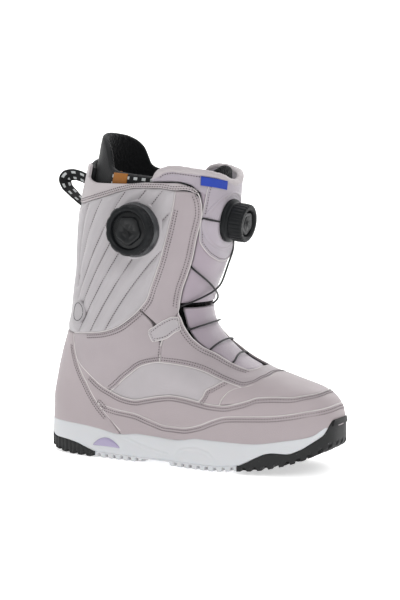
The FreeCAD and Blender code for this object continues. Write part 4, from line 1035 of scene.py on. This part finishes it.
class BOOT_OT_tongue(Piece, Operator):
    """Lower tongue, upper tongue with its centre panel, collar, rolled binding and label"""
    bl_idname = "boot.tongue"
    bl_label = "Tongue"

    def execute(self, context):
        side_low = lateral([(4, 143.5), (6, 133), (8.5, 126), (15, 116.5), (24, 109), (37.5, 101.3),
                            (50.5, 93.5), (58, 90.2)])
        foot = joined(side_low[-1:], [(0, 89.8)], mirrored(side_low[-1:]))
        head = joined(side_low[:1], [(0, 143.5)], mirrored(side_low[:1]))
        panel("lower_tongue", "tongue_satin", foot, head, LOWER_TONGUE, left=side_low[::-1],
              right=mirrored(side_low[::-1]), nodes=["tongue_lower"],
              relief=uneven(14))
        edge = lateral([(1.6, 147.5), (9.2, 170), (14.3, 182), (20.9, 204), (26.6, 225), (27.4, 242),
                        (26.4, 250.5)])
        foot = joined(edge[:1], [(0, 147.5)], mirrored(edge[:1]))
        head = joined(edge[-1:], [(0, 250)], mirrored(edge[-1:]))
        sheet = panel("upper_tongue", "tongue_satin", foot, head, UPPER_TONGUE, left=edge,
                      right=mirrored(edge), body=None, nodes=["tongue_panel"],
                      relief=uneven(15))
        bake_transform(sheet)
        left = np.array([(-0.2, 206), (-0.208, 225), (-0.205, 243.5), (-0.19, 261)])
        low = np.array([(-0.2, 206), (-0.17, 198), (-0.129, 192), (-0.044, 186.5), (0, 185.8)])
        low = joined(low, mirrored(low[:-1])[::-1])
        outline = joined(left[::-1], low[1:-1], mirrored(left))
        rows = [beside(outline, 2.2)]
        panel("tongue_centre_panel", "tongue_centre", low, [(-0.19, 261), (0, 256.5), (0.19, 261)],
              TONGUE_CENTRE, left=left, right=mirrored(left), body="tongue",
              relief=uneven(16, rows, 0.2))
        piping("tongue_piping", outline, 0.5, 0.45, body="tongue")
        stitched("tongue_stitching", rows, 1.0, "tongue")
        wing = joined(lateral([(-16.5, 257.6), (6, 257.7), (19.3, 254.8), (25.3, 249.4)]), [(-0.17, 243.6)])
        wing = joined(wing, [(0, 242.8)], mirrored(wing)[::-1])
        rim = joined([(-q, z) for q, z in RIM[::-1]], RIM[1:])
        crown = rim - np.array([0, 3.0])
        rows = [beside(crown[1:-1], -1.8), beside(crown[1:-1], -4.0), beside(crown[2:-2], -11.0)]
        panel("tongue_collar_band", "tongue_centre", wing, crown, TONGUE_COLLAR, body="tongue",
              nodes=["tongue_collar"], relief=uneven(17, rows, 0.15))
        stitched("tongue_collar_stitching", rows[:2], 0.5, "tongue")
        fine = spaced(rim, 260)
        normal = frame_at(fine[:, 0], fine[:, 1])[0]
        path = shifted(fine[:, 0], fine[:, 1] - 3.4, -1.7)
        share = np.minimum(np.arange(260), np.arange(260)[::-1]) / 259
        lumps = 3.35 + 0.16 * np.sin(np.arange(260) * 0.21) + 0.1 * np.sin(np.arange(260) * 0.57 + 1)
        roll = tube("tongue_rolled_edge", path, normal, lumps * np.clip(share * 30, 0.25, 1)**0.5,
                    "binding_leather", "tongue", 20, 1.0, ["tongue_binding"])
        pad = {"origin": DIAL_FRONT, "axis": FRONT_AXIS, "seat": 20.5, "rim": 26.5, "low": 0.2,
               "high": 1.9}
        dial_pad("front_dial_pad", material="tongue_centre", slot="lilac_satin", body="tongue",
                 nodes=["tongue_dial_plate"], **pad)
        pad_stitches("front_pad_stitches", radius=24.2, body="tongue", slot="lilac_satin", **pad)
        low_label = [(-0.236, 255), (-0.16, 252.8), (-0.092, 250.6)]
        top_label = [(-0.238, 263.4), (-0.16, 261), (-0.09, 258.8)]
        panel("woven_tab", "label_cloth", low_label, top_label, TONGUE_TAB, edge=0.5, body="tongue",
              nodes=["tongue_label"])
        return {"FINISHED"}


class BOOT_OT_liner(Piece, Operator):
    """Padded liner cuff with its fleece, liner tongue, collar padding, strap and patch"""
    bl_idname = "boot.liner"
    bl_label = "Liner"

    def execute(self, context):
        low = np.array([(-0.36, 125.5), (-0.6, 125), (-0.8, 124.8), (-1, 124.8)])
        low = joined(low, behind(low[:-1])[::-1])
        high = np.array([(-0.3, 255), (-0.36, 258), (-0.45, 262), (-0.55, 264.5), (-0.63, 267),
                         (-0.675, 271), (-0.7, 279), (-0.73, 288), (-0.79, 296), (-0.87, 300.5),
                         (-1, 302.5)])
        high = joined(high, behind(high[:-1])[::-1])
        front = np.array([(-0.36, 125.5), (-0.34, 160), (-0.31, 200), (-0.3, 255)])

        def fluffy(p, q, z, inset):
            """Long soft waves with short ones over them."""
            return creases(p, 0.5, 21) + creases(p * 6, 0.18, 22)

        cuff = panel("liner_wall", "liner_foam", low, high, LINER_WALL, left=front, right=behind(front),
                     edge=3.0, step=2.4, both=True, nodes=["liner_cuff"],
                     relief=lambda p, q, z, inset: creases(p, 0.3, 20), inside="fleece")
        tongue = panel("liner_tongue_pad", "fleece", [(-0.21, 108), (0, 106), (0.21, 108)],
                       [(-0.2, 263), (0, 272), (0.2, 263)], LINER_TONGUE, edge=2.8, step=2.0, both=True,
                       nodes=["liner_tongue"], relief=fluffy)
        pad = panel("collar_pad", "liner_foam", [(-0.8, 241.5), (-1.0, 237.5), (-1.2, 241.5)],
                    [(-0.8, 269), (-1.0, 277), (-1.2, 269)], COLLAR_PAD, edge=2.3, both=True,
                    nodes=["collar_padding"],
                    relief=lambda p, q, z, inset: creases(p, 0.3, 23))
        panel("liner_strap", "webbing", [(-0.655, 253), (-0.55, 251), (-0.44, 249)],
              [(-0.655, 267), (-0.55, 263.5), (-0.44, 261)], STRAP, edge=0.6)
        panel("liner_tab", "patch_cloth", [(-0.637, 254), (-0.56, 253)], [(-0.637, 265.5), (-0.56, 264.5)],
              STRAP_TAB, edge=0.4)
        panel("liner_tab_inside", "patch_cloth", [(-0.72, 259), (-0.63, 259)], [(-0.72, 267), (-0.63, 267)],
              INNER_TAB, edge=0.4, nodes=["liner_patch"])
        return {"FINISHED"}


class BOOT_OT_pull_loop(Piece, Operator):
    """Webbing pull loop on the back seam: a rounded strap section carried along its route, tilted
    by an angle that falls from 62 to 4 degrees"""
    bl_idname = "boot.pull_loop"
    bl_label = "Pull loop"

    def execute(self, context):
        rows, sides = 120, 32
        half_wide, half_thick = 6.3, 0.8
        route = np.array([(-117.5, 257), (-124, 259.5), (-131, 260.8), (-137.5, 260), (-141, 256),
                          (-139.5, 250.5), (-133.5, 244.5), (-126, 238), (-118.6, 232)], float)
        run = run_of(route)
        s = np.linspace(0, run[-1], rows)
        x, z = [curve(list(zip(run, route[:, k])))(s) for k in (0, 1)]
        path = np.stack([x, 0 * x, z], -1)
        t = unit(np.gradient(path, axis=0))
        y = np.array([0, 1.0, 0])
        tilt = np.radians(curve([(0, 62), (20, 55), (32, 24), (44, 16), (run[-1], 4)])(s))[:, None]
        across_t = np.cross(t, y)
        wide_way = np.cos(tilt) * y + np.sin(tilt) * across_t
        normal = np.cross(t, wide_way)
        a = np.linspace(0, 2 * np.pi, sides, endpoint=False)
        wide = half_wide * np.sign(np.cos(a)) * np.abs(np.cos(a))**0.35
        thick = half_thick * np.sign(np.sin(a)) * np.abs(np.sin(a))**0.6
        points = (path[:, None, :] + wide[None, :, None] * wide_way[:, None, :]
                  + thick[None, :, None] * normal[:, None, :])
        faces, caps = ring_faces(rows, sides)
        uv = np.stack(np.broadcast_arrays(s[:, None], wide[None, :]), -1) / 100
        make("webbing_loop", points.reshape(-1, 3), faces[:, ::-1], "webbing", "pull_loop",
             uv.reshape(-1, 2), ["pull_loop"], caps)
        return {"FINISHED"}


# The lace's route as (q, z, d): out of the front dial, to and fro across the throat, and back.
LACE = [(-0.186, 225.5, 3.4), (-0.205, 226.5, 0.8), (-0.225, 220, -1.5), (-0.243, 203, -1.6),
        (-0.246, 192, -1.6), (-0.232, 184.5, -1.3), (-0.208, 180.5, 1.1), (-0.15, 174, 2.3),
        (-0.08, 167.5, 2.3),
        (-0.01, 160.5, 2.3), (0.06, 155, 2.2), (0.13, 149, 2.1), (0.20, 144, 1.3), (0.231, 140, -1.2),
        (0.25, 130, -1.5), (0.246, 117, -1.5), (0.226, 105, -1.5), (0.18, 99, -1.2), (0.14, 98, 1.2),
        (0.07, 100.5, 1.9), (0.0, 101.3, 2.0), (-0.06, 100, 1.9), (-0.11, 97.2, 1.7), (-0.148, 94.8, 1.0),
        (-0.177, 95.5, -1.4), (-0.206, 99.5, -1.5), (-0.202, 104.5, -1.0), (-0.175, 107, 1.3),
        (-0.11, 110.8, 2.0), (-0.04, 112.8, 2.1), (0.04, 112.8, 2.1), (0.11, 111.8, 1.9),
        (0.168, 109.8, 1.2), (0.200, 111.8, -1.2), (0.214, 118, -1.5), (0.210, 124.5, -1.0),
        (0.186, 127.5, 1.3), (0.12, 128.8, 2.1), (0.05, 129.3, 2.3), (-0.03, 128.9, 2.3), (-0.1, 127.6, 2.1),
        (-0.16, 126, 1.8), (-0.203, 124.3, 0.9), (-0.234, 126.5, -1.4), (-0.252, 134, -1.5),
        (-0.242, 142.3, -1.4), (-0.213, 146.5, 0.9), (-0.155, 150.5, 2.4), (-0.09, 155, 3.1),
        (-0.03, 159.8, 4.6), (0.03, 165.5, 4.3), (0.07, 173, 2.2), (0.09, 183, 1.5), (0.095, 192, 2.2),
        (0.095, 199, 2.4)]


class BOOT_OT_lace(Piece, Operator):
    """The lace, on one smooth NURBS line through its guides"""
    bl_idname = "boot.lace"
    bl_label = "Lace"

    def execute(self, context):
        q, z, d = np.array(LACE).T
        port = DIAL_FRONT + FRONT_AXIS * 1.7
        down = np.array([FRONT_AXIS[2], 0, -FRONT_AXIS[0]])
        ends = [port + [0, -21.5, 0], port + [0, 10, 0] + down * 19.1]
        points = joined(ends[0], shifted(q, z, d), ends[1])
        line = bpy.data.curves.new("lace_line", "CURVE")
        line.dimensions = "3D"
        spline = line.splines.new("NURBS")
        spline.points.add(len(points) - 1)
        spline.points.foreach_set("co", np.concatenate([points, np.ones((len(points), 1))], 1).ravel())
        spline.order_u = 3
        spline.use_endpoint_u = True
        line.resolution_u = 8
        holder = bpy.data.objects.new("lace_line", line)
        mesh = bpy.data.meshes.new_from_object(holder)
        path = np.zeros(len(mesh.vertices) * 3)
        mesh.vertices.foreach_get("co", path)
        path = path.reshape(-1, 3)
        path = path[np.concatenate([[True], np.linalg.norm(np.diff(path, axis=0), axis=1) > 1e-3])]
        bpy.data.objects.remove(holder)
        normal = unit(np.cross(np.gradient(path, axis=0), [0, 1.0, 0.01]))
        piece = tube("lace", path, normal, sizes().lace * 1000, "braided_lace", None,
                     nodes=["front_lace"])
        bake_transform(piece)
        return {"FINISHED"}


# ---- sole ---------------------------------------------------------------------------------------
SOLE_FOOT = [(-149, 7), (-140, 3), (-125, 0.6), (-112, 0), (40, 0), (60, 2), (82, 4), (97, 7), (115, 12),
             (125, 16), (134, 21), (143, 27)]
HEEL_RUBBER = [(-149, 21), (-138, 14), (-122, 13), (-110, 11.2), (-100, 8.4), (-90, 5.4)]
TOE_RUBBER = [(66, 7.6), (73, 11), (82, 16), (90, 19.6), (96, 20.6), (108, 20), (118, 23.5), (127, 29.5),
              (135, 36), (143, 44)]
sole_foot, heel_rubber, toe_rubber = curve(SOLE_FOOT), curve(HEEL_RUBBER), curve(TOE_RUBBER)
GEL_LONG, GEL_HIGH = 50, 16       # points along and up a coloured window
BUMPER_TOP = 49.2                 # height of the toe bumper


def sole_point(q, step):
    """Plan points of the sole's outline, step outside the upper's lowest outline."""
    z = np.full(np.shape(q), SOLE_REF_Z)
    p = surface(q, z)
    t = surface(q + 1e-3, z) - surface(q - 1e-3, z)
    n = unit(np.stack([t[..., 1], -t[..., 0]], -1))
    return p[..., :2] + n * np.asarray(step)[..., None]


def tread_top(x):
    """Height of the rubber's upper edge at x, or of the plate's in the middle."""
    middle = sole_foot(x) + LUG + PLATE
    return np.where(x < HEEL_CUT, heel_rubber(x), np.where(x > TOE_CUT, toe_rubber(x), middle))


def sole_wall(name, material, q, low, high, step, relief, nodes=(), closed=False, depth=16.0):
    """A rim carried round the sole's outline: its section is a rounded upright wall with flat
    shelves going in depth millimetres below and above, and relief pushes the wall in or out."""
    share = np.array([0, 0, 0, 0.02, 0.06, 0.12, *np.linspace(0.18, 0.82, 16), 0.88, 0.94, 0.98, 1, 1, 1])
    inset = np.array([depth, depth / 2, 0.9, 0.35, 0.08, 0, *np.zeros(16), 0, 0.08, 0.35, 0.9, depth / 3,
                      depth / 1.6])
    qq, ss = np.meshgrid(q, share, indexing="ij")
    steps = step - inset[None, :] + 0 * ss
    plan = sole_point(qq, steps)
    x = plan[..., 0]
    bottom, top = low(x, qq), high(x, qq)
    z = bottom + ss * (top - bottom)
    wall = np.clip(np.minimum(ss, 1 - ss) / 0.06, 0, 1)
    plan = sole_point(qq, steps + relief(x, z, qq) * wall)
    points = np.concatenate([plan, z[..., None]], -1)
    n, m = ss.shape
    ids = np.arange(n * m).reshape(n, m)
    around = np.concatenate([ids, ids[:, :1]], 1)
    if closed:
        around = np.concatenate([around, around[:1]])
    faces = grid_faces(around.shape[0], m + 1, around)
    caps = [] if closed else [ids[0].tolist(), ids[-1][::-1].tolist()]
    return make(name, points.reshape(-1, 3), faces, material, "root", None, nodes, caps)


def run_along(q):
    """Arc length along the sole's outline at each q."""
    fine = np.linspace(-2, 2, 4001)
    return np.interp(q, fine, run_of(sole_point(fine, np.zeros(fine.shape))))


def teeth(q, pitch, depth, share=0.55):
    """A square wave along the outline with short slopes: 0 on a tooth, depth in a gap."""
    wave = np.cos(2 * np.pi * run_along(q) / pitch) - math.cos(math.pi * share)
    return depth * (1 - 1 / (1 + np.exp(-wave * 9)))


class BOOT_OT_sole(Piece, Operator):
    """Midsole with its relief, rubber walls with teeth and grooves, and the coloured windows"""
    bl_idname = "boot.sole"
    bl_label = "Sole"

    def execute(self, context):
        sweep = np.array([(-64, 27), (-52, 21.5), (-40, 17), (-24, 13.5), (-8, 11)])
        arch = np.array([(0, 9), (5, 15.5), (14, 18.5), (26, 19), (36, 16.5), (43, 10)])

        def relief(x, z, q):
            """Two raised lines and a shallow panel inside the arch, on each side."""
            points = np.stack([x, z], -1)
            line = np.minimum(distance_to(points, sweep), distance_to(points, arch))
            side = np.abs(np.sin(np.pi * q)) > 0.5
            bulge = 0.5 * np.sin(np.pi * np.clip((z - 6) / 22, 0, 1))
            return bulge + side * 0.55 * np.exp(-(line / 0.9)**2) - side * 0.35 * np.exp(-(line / 2.6)**2)

        sole_wall("midsole_rim", "white_foam", np.linspace(-1, 1, 900, endpoint=False),
                  lambda x, q: tread_top(x), lambda x, q: sole_top(x), SOLE_STEP, relief, ["midsole"],
                  closed=True)
        q_heel = abs(float(side_q(HEEL_CUT, SOLE_REF_Z)))
        q_toe = abs(float(side_q(TOE_CUT, SOLE_REF_Z)))

        def ribbed(x, z, q):
            """Upright ribs with narrow grooves between them, a rib every 5.2 mm."""
            return 0.35 - 0.8 / (1 + np.exp(-(np.cos(2 * np.pi * run_along(q) / 5.2) - 0.6) * 10))

        def bumper_top(x, q):
            """The toe rubber's edge, raised by a smooth step to the bumper round the very front."""
            share = np.clip((0.155 - np.abs(q)) / 0.075, 0, 1)
            return toe_rubber(x) + 0.1 + (BUMPER_TOP - toe_rubber(x)) * share * share * (3 - 2 * share)

        sole_wall("heel_rubber_rim", "black_rubber", np.linspace(q_heel, 2 - q_heel, 420),
                  lambda x, q: sole_foot(x) + teeth(q, 10.4, LUG), lambda x, q: heel_rubber(x) + 0.1,
                  SOLE_STEP + 0.3, ribbed)
        sole_wall("toe_rubber_rim", "speckled_rubber", np.linspace(-q_toe, q_toe, 520),
                  lambda x, q: sole_foot(x) + teeth(q, 9.6, LUG), bumper_top,
                  SOLE_STEP + 0.3, lambda x, z, q: 0.2 + 0 * x)
        for sign, side in BOTH:
            q = sign * np.linspace(-q_heel, -q_toe, 400)[::sign]

            def waist(x, q):
                """Lugs, but for a smooth part between x = -38 and x = -6."""
                gap = 1 / (1 + np.exp(-(np.abs(x + 22) - 16) * 1.5))
                return sole_foot(x) + gap * teeth(q, 8.4, LUG + 0.9, 0.55) + (1 - gap) * LUG

            sole_wall("waist_lug_rim_" + side, "white_foam", q, waist,
                      lambda x, q: sole_foot(x) + LUG + PLATE + 0.2, SOLE_STEP - 0.5, lambda x, z, q: 0 * x,
                      depth=6.0)
            u, v = np.meshgrid(np.linspace(0, 1, GEL_LONG), np.linspace(0, 1, GEL_HIGH), indexing="ij")
            x = -90 + 31 * u
            qx = np.abs(side_q(x, np.full(x.shape, SOLE_REF_Z))) * -sign
            rise = (1 - (2 * v - 1)**4) * (1 - (2 * u - 1)**6)
            plan = sole_point(qx, SOLE_STEP - 0.4 + 2.1 * rise**0.5)
            z = 11.2 + (0.6 + 34 * u * (1 - u)) * v
            points = np.concatenate([plan, z[..., None]], -1)
            faces = grid_faces(GEL_LONG, GEL_HIGH)
            ids = np.arange(GEL_LONG * GEL_HIGH).reshape(GEL_LONG, GEL_HIGH)
            back = [*ids[0].tolist(), *ids[1:-1, -1].tolist(), *ids[-1, ::-1].tolist(),
                    *ids[-2:0:-1, 0].tolist()]
            make("gel_window_" + side, points.reshape(-1, 3), faces[:, ::sign], "lilac_gel", "root", None,
                 ["sole_pods"], [back[::sign]])
        return {"FINISHED"}


# ---- dials --------------------------------------------------------------------------------------
# Profiles as (radius, height) above the dial's foot.
FRONT_BASE = [(3.2, 0), (19.5, 0), (19.5, 3.3), (17.0, 4.7), (16.6, 6.4), (15.2, 6.4), (15.2, 1.8),
              (3.2, 1.8)]
FRONT_GRIP = [(14.2, 6.9), (17.2, 6.9), (17.5, 12), (17.2, 18.2), (15.4, 19.5), (12.6, 19.3), (11.6, 17.6),
              (11.4, 15.3), (3.6, 15.3), (3.6, 9.8), (14.2, 9.8)]
FRONT_FACE = [(0.05, 15.4), (11.0, 15.4), (11.0, 17.0), (9.8, 17.9), (7.2, 17.6), (6.6, 18.2), (0.05, 18.4)]
SIDE_BASE = [(3.2, 0), (24.7, 0), (24.8, 2.2), (24.0, 4.4), (23.0, 6.4), (21, 6.4), (21, 1.2), (3.2, 1.2)]
SIDE_GRIP = [(19.8, 6.9), (22.8, 6.9), (23.4, 8.2), (23.0, 13.4), (21.0, 15.4), (18.6, 15.5), (17.2, 14.2),
             (16.9, 11.4), (3.6, 11.4), (3.6, 9.8), (19.8, 9.8)]
SIDE_FACE = [(0.05, 11.5), (16.4, 11.5), (16.4, 12.0), (13.4, 12.2), (12.6, 14.2), (11.4, 14.7),
             (0.05, 14.5)]
FIFTH = 0.4 * math.pi             # a fifth of a turn


class BOOT_OT_dials(Piece, Operator):
    """Front and side lace dials: base ring, knob with ribs or lobes, and recessed cap"""
    bl_idname = "boot.dials"
    bl_label = "Lace dials"

    def execute(self, context):
        ribs, lobes = sizes().front_ribs, sizes().side_lobes

        def ribbed(a, r, h):
            """The wall above the foot, with 0.55 * (1 + cos(ribs * a))^2 / 4 taken off."""
            on_wall = np.clip((r - 15.9) / 0.9, 0, 1) * np.clip((h - 7.2) / 1, 0, 1)
            return r - 0.55 * on_wall * (0.5 + 0.5 * np.cos(ribs * a))**2

        def lobed(a, r, h):
            """The wall, with 0.8 * (1 + cos(lobes * a))^3 / 8 taken off."""
            on_wall = np.clip((r - 19) / 3.5, 0, 1)
            return r - 0.8 * on_wall * (0.5 + 0.5 * np.cos(lobes * a))**3

        def five(a, r, h):
            """The circle's five sides are cut straight: r * cos 36 deg / cos(a within a fifth)."""
            turn = (a + np.pi / 2) % FIFTH - FIFTH / 2
            side_cut = math.cos(FIFTH / 2) * 1.12 / np.cos(turn)
            return r * np.where(r > 15.5, 1, np.minimum(side_cut, 1))

        front, side = (DIAL_FRONT, FRONT_AXIS), (DIAL_SIDE, SIDE_AXIS)
        for name, profile, corner, place, material, body, wave, count, slot, node in (
                ("front_dial_base", FRONT_BASE, 0.6, front, "dial_black", "tongue", None, 144,
                 "dial_black", "front_dial_housing"),
                ("front_dial_grip", FRONT_GRIP, 0.5, front, "dial_black", "front_knob", ribbed, 360,
                 "dial_black", "front_dial_knob"),
                ("front_dial_face", FRONT_FACE, 0.5, front, "dial_face", "front_knob", five, 144,
                 "dial_black", "front_dial_cap"),
                ("side_dial_base", SIDE_BASE, 0.5, side, "dial_clear", "root", None, 144,
                 "dial_clear", "side_dial_housing"),
                ("side_dial_grip", SIDE_GRIP, 0.6, side, "dial_black", "side_knob", lobed, 264,
                 "dial_black", "side_dial_knob"),
                ("side_dial_face", SIDE_FACE, 0.4, side, "dial_face", "side_knob", five, 144,
                 "dial_black", "side_dial_cap")):
            turned(name, softened(profile, corner), *place, material, body, wave, count, slot, [node])
        dial_pad("side_dial_pad", DIAL_SIDE, SIDE_AXIS, 25.2, 27.4, 0.4, 2.2, "quilt_cloth", "lilac_quilt",
                 "root", ["side_dial_plate"])
        return {"FINISHED"}


# ---- stage --------------------------------------------------------------------------------------
WORLD_LIGHT = 0.42
LAMPS = (("key", (1.3, -1.6, 1.9), 25, 1.6), ("left", (-1.7, -1.2, 1.3), 7, 1.5),
         ("top", (0, 0.1, 2.2), 14, 1.8), ("back", (0.3, 1.8, 1.6), 9, 1.5))   # place, watts, width
CAMERA_AWAY = 1.6
LENS, SHIFT_X, SHIFT_Y = 104.6, 0.005, -0.0038


class BOOT_OT_stage(Piece, Operator):
    """Pale floor that bends up into a backdrop, soft studio lights and the camera"""
    bl_idname = "boot.stage"
    bl_label = "Stage"

    def execute(self, context):
        scene = context.scene
        s = np.linspace(0, 1, 60)
        run, rise = np.meshgrid(np.linspace(-4, 4, 3), s, indexing="ij")
        bend = np.clip((rise - 0.5) / 0.2, 0, 1) * np.pi / 2
        y = -3.0 + 8.0 * np.minimum(rise, 0.5) + 0.9 * np.sin(bend)
        z = 0.9 * (1 - np.cos(bend)) + np.maximum(rise - 0.7, 0) * 10 - 0.0002
        turn = sizes().eye_turn
        x, y = run * math.cos(turn) - y * math.sin(turn), run * math.sin(turn) + y * math.cos(turn)
        points = np.stack([x, y, z], -1) * 1000
        floor = make("studio_cove", points.reshape(-1, 3), grid_faces(3, 60), "studio_floor", None)
        world = bpy.data.worlds.new("studio")
        world.use_nodes = True
        background = world.node_tree.nodes["Background"].inputs
        background[0].default_value = (1, 1, 1, 1)
        background[1].default_value = WORLD_LIGHT
        scene.world = world
        for name, place, power, size in LAMPS:
            light = bpy.data.lights.new(name, "AREA")
            light.energy, light.size = power, size
            holder = bpy.data.objects.new(name, light)
            holder.location = place
            holder.rotation_euler = (Vector(AIM) - Vector(place)).to_track_quat("-Z", "Y").to_euler()
            scene.collection.objects.link(holder)
        camera = bpy.data.cameras.new("camera")
        camera.lens, camera.shift_x, camera.shift_y = LENS, SHIFT_X, SHIFT_Y
        holder = bpy.data.objects.new("camera", camera)
        a, e = sizes().eye_turn, sizes().eye_level
        back = Vector((math.sin(a) * math.cos(e), -math.cos(a) * math.cos(e), math.sin(e)))
        holder.location = Vector(AIM) + back * CAMERA_AWAY
        holder.rotation_euler = (-back).to_track_quat("-Z", "Y").to_euler()
        scene.collection.objects.link(holder)
        scene.camera = holder
        scene.view_settings.view_transform = "Standard"
        return {"FINISHED"}


class BOOT_PT_panel(Panel):
    """Lists the boot's pieces in the sidebar"""
    bl_label = "Snowboard boot"
    bl_space_type = "VIEW_3D"
    bl_region_type = "UI"
    bl_category = "Boot"

    def draw(self, context):
        for operator in OPERATORS:
            self.layout.operator(operator.bl_idname)
        for settings in (context.scene.boot_sizes, context.scene.boot_colours):
            for name in settings.__annotations__:
                self.layout.prop(settings, name)


OPERATORS = (BOOT_OT_finishes, BOOT_OT_stage, BOOT_OT_lower_bands, BOOT_OT_toe_and_vamp, BOOT_OT_sides,
             BOOT_OT_quilted_cuff, BOOT_OT_tongue, BOOT_OT_liner, BOOT_OT_pull_loop, BOOT_OT_lace,
             BOOT_OT_sole, BOOT_OT_dials)
CLASSES = (BootColours, BootSizes, *OPERATORS, BOOT_PT_panel)


def register():
    for cls in CLASSES:
        bpy.utils.register_class(cls)
    bpy.types.Scene.boot_colours = PointerProperty(type=BootColours)
    bpy.types.Scene.boot_sizes = PointerProperty(type=BootSizes)


def unregister():
    del bpy.types.Scene.boot_sizes
    del bpy.types.Scene.boot_colours
    for cls in reversed(CLASSES):
        bpy.utils.unregister_class(cls)


def main():
    register()
    for operator in OPERATORS:
        getattr(bpy.ops.boot, operator.bl_idname.split(".")[1])()


if __name__ == "__main__":
    main()
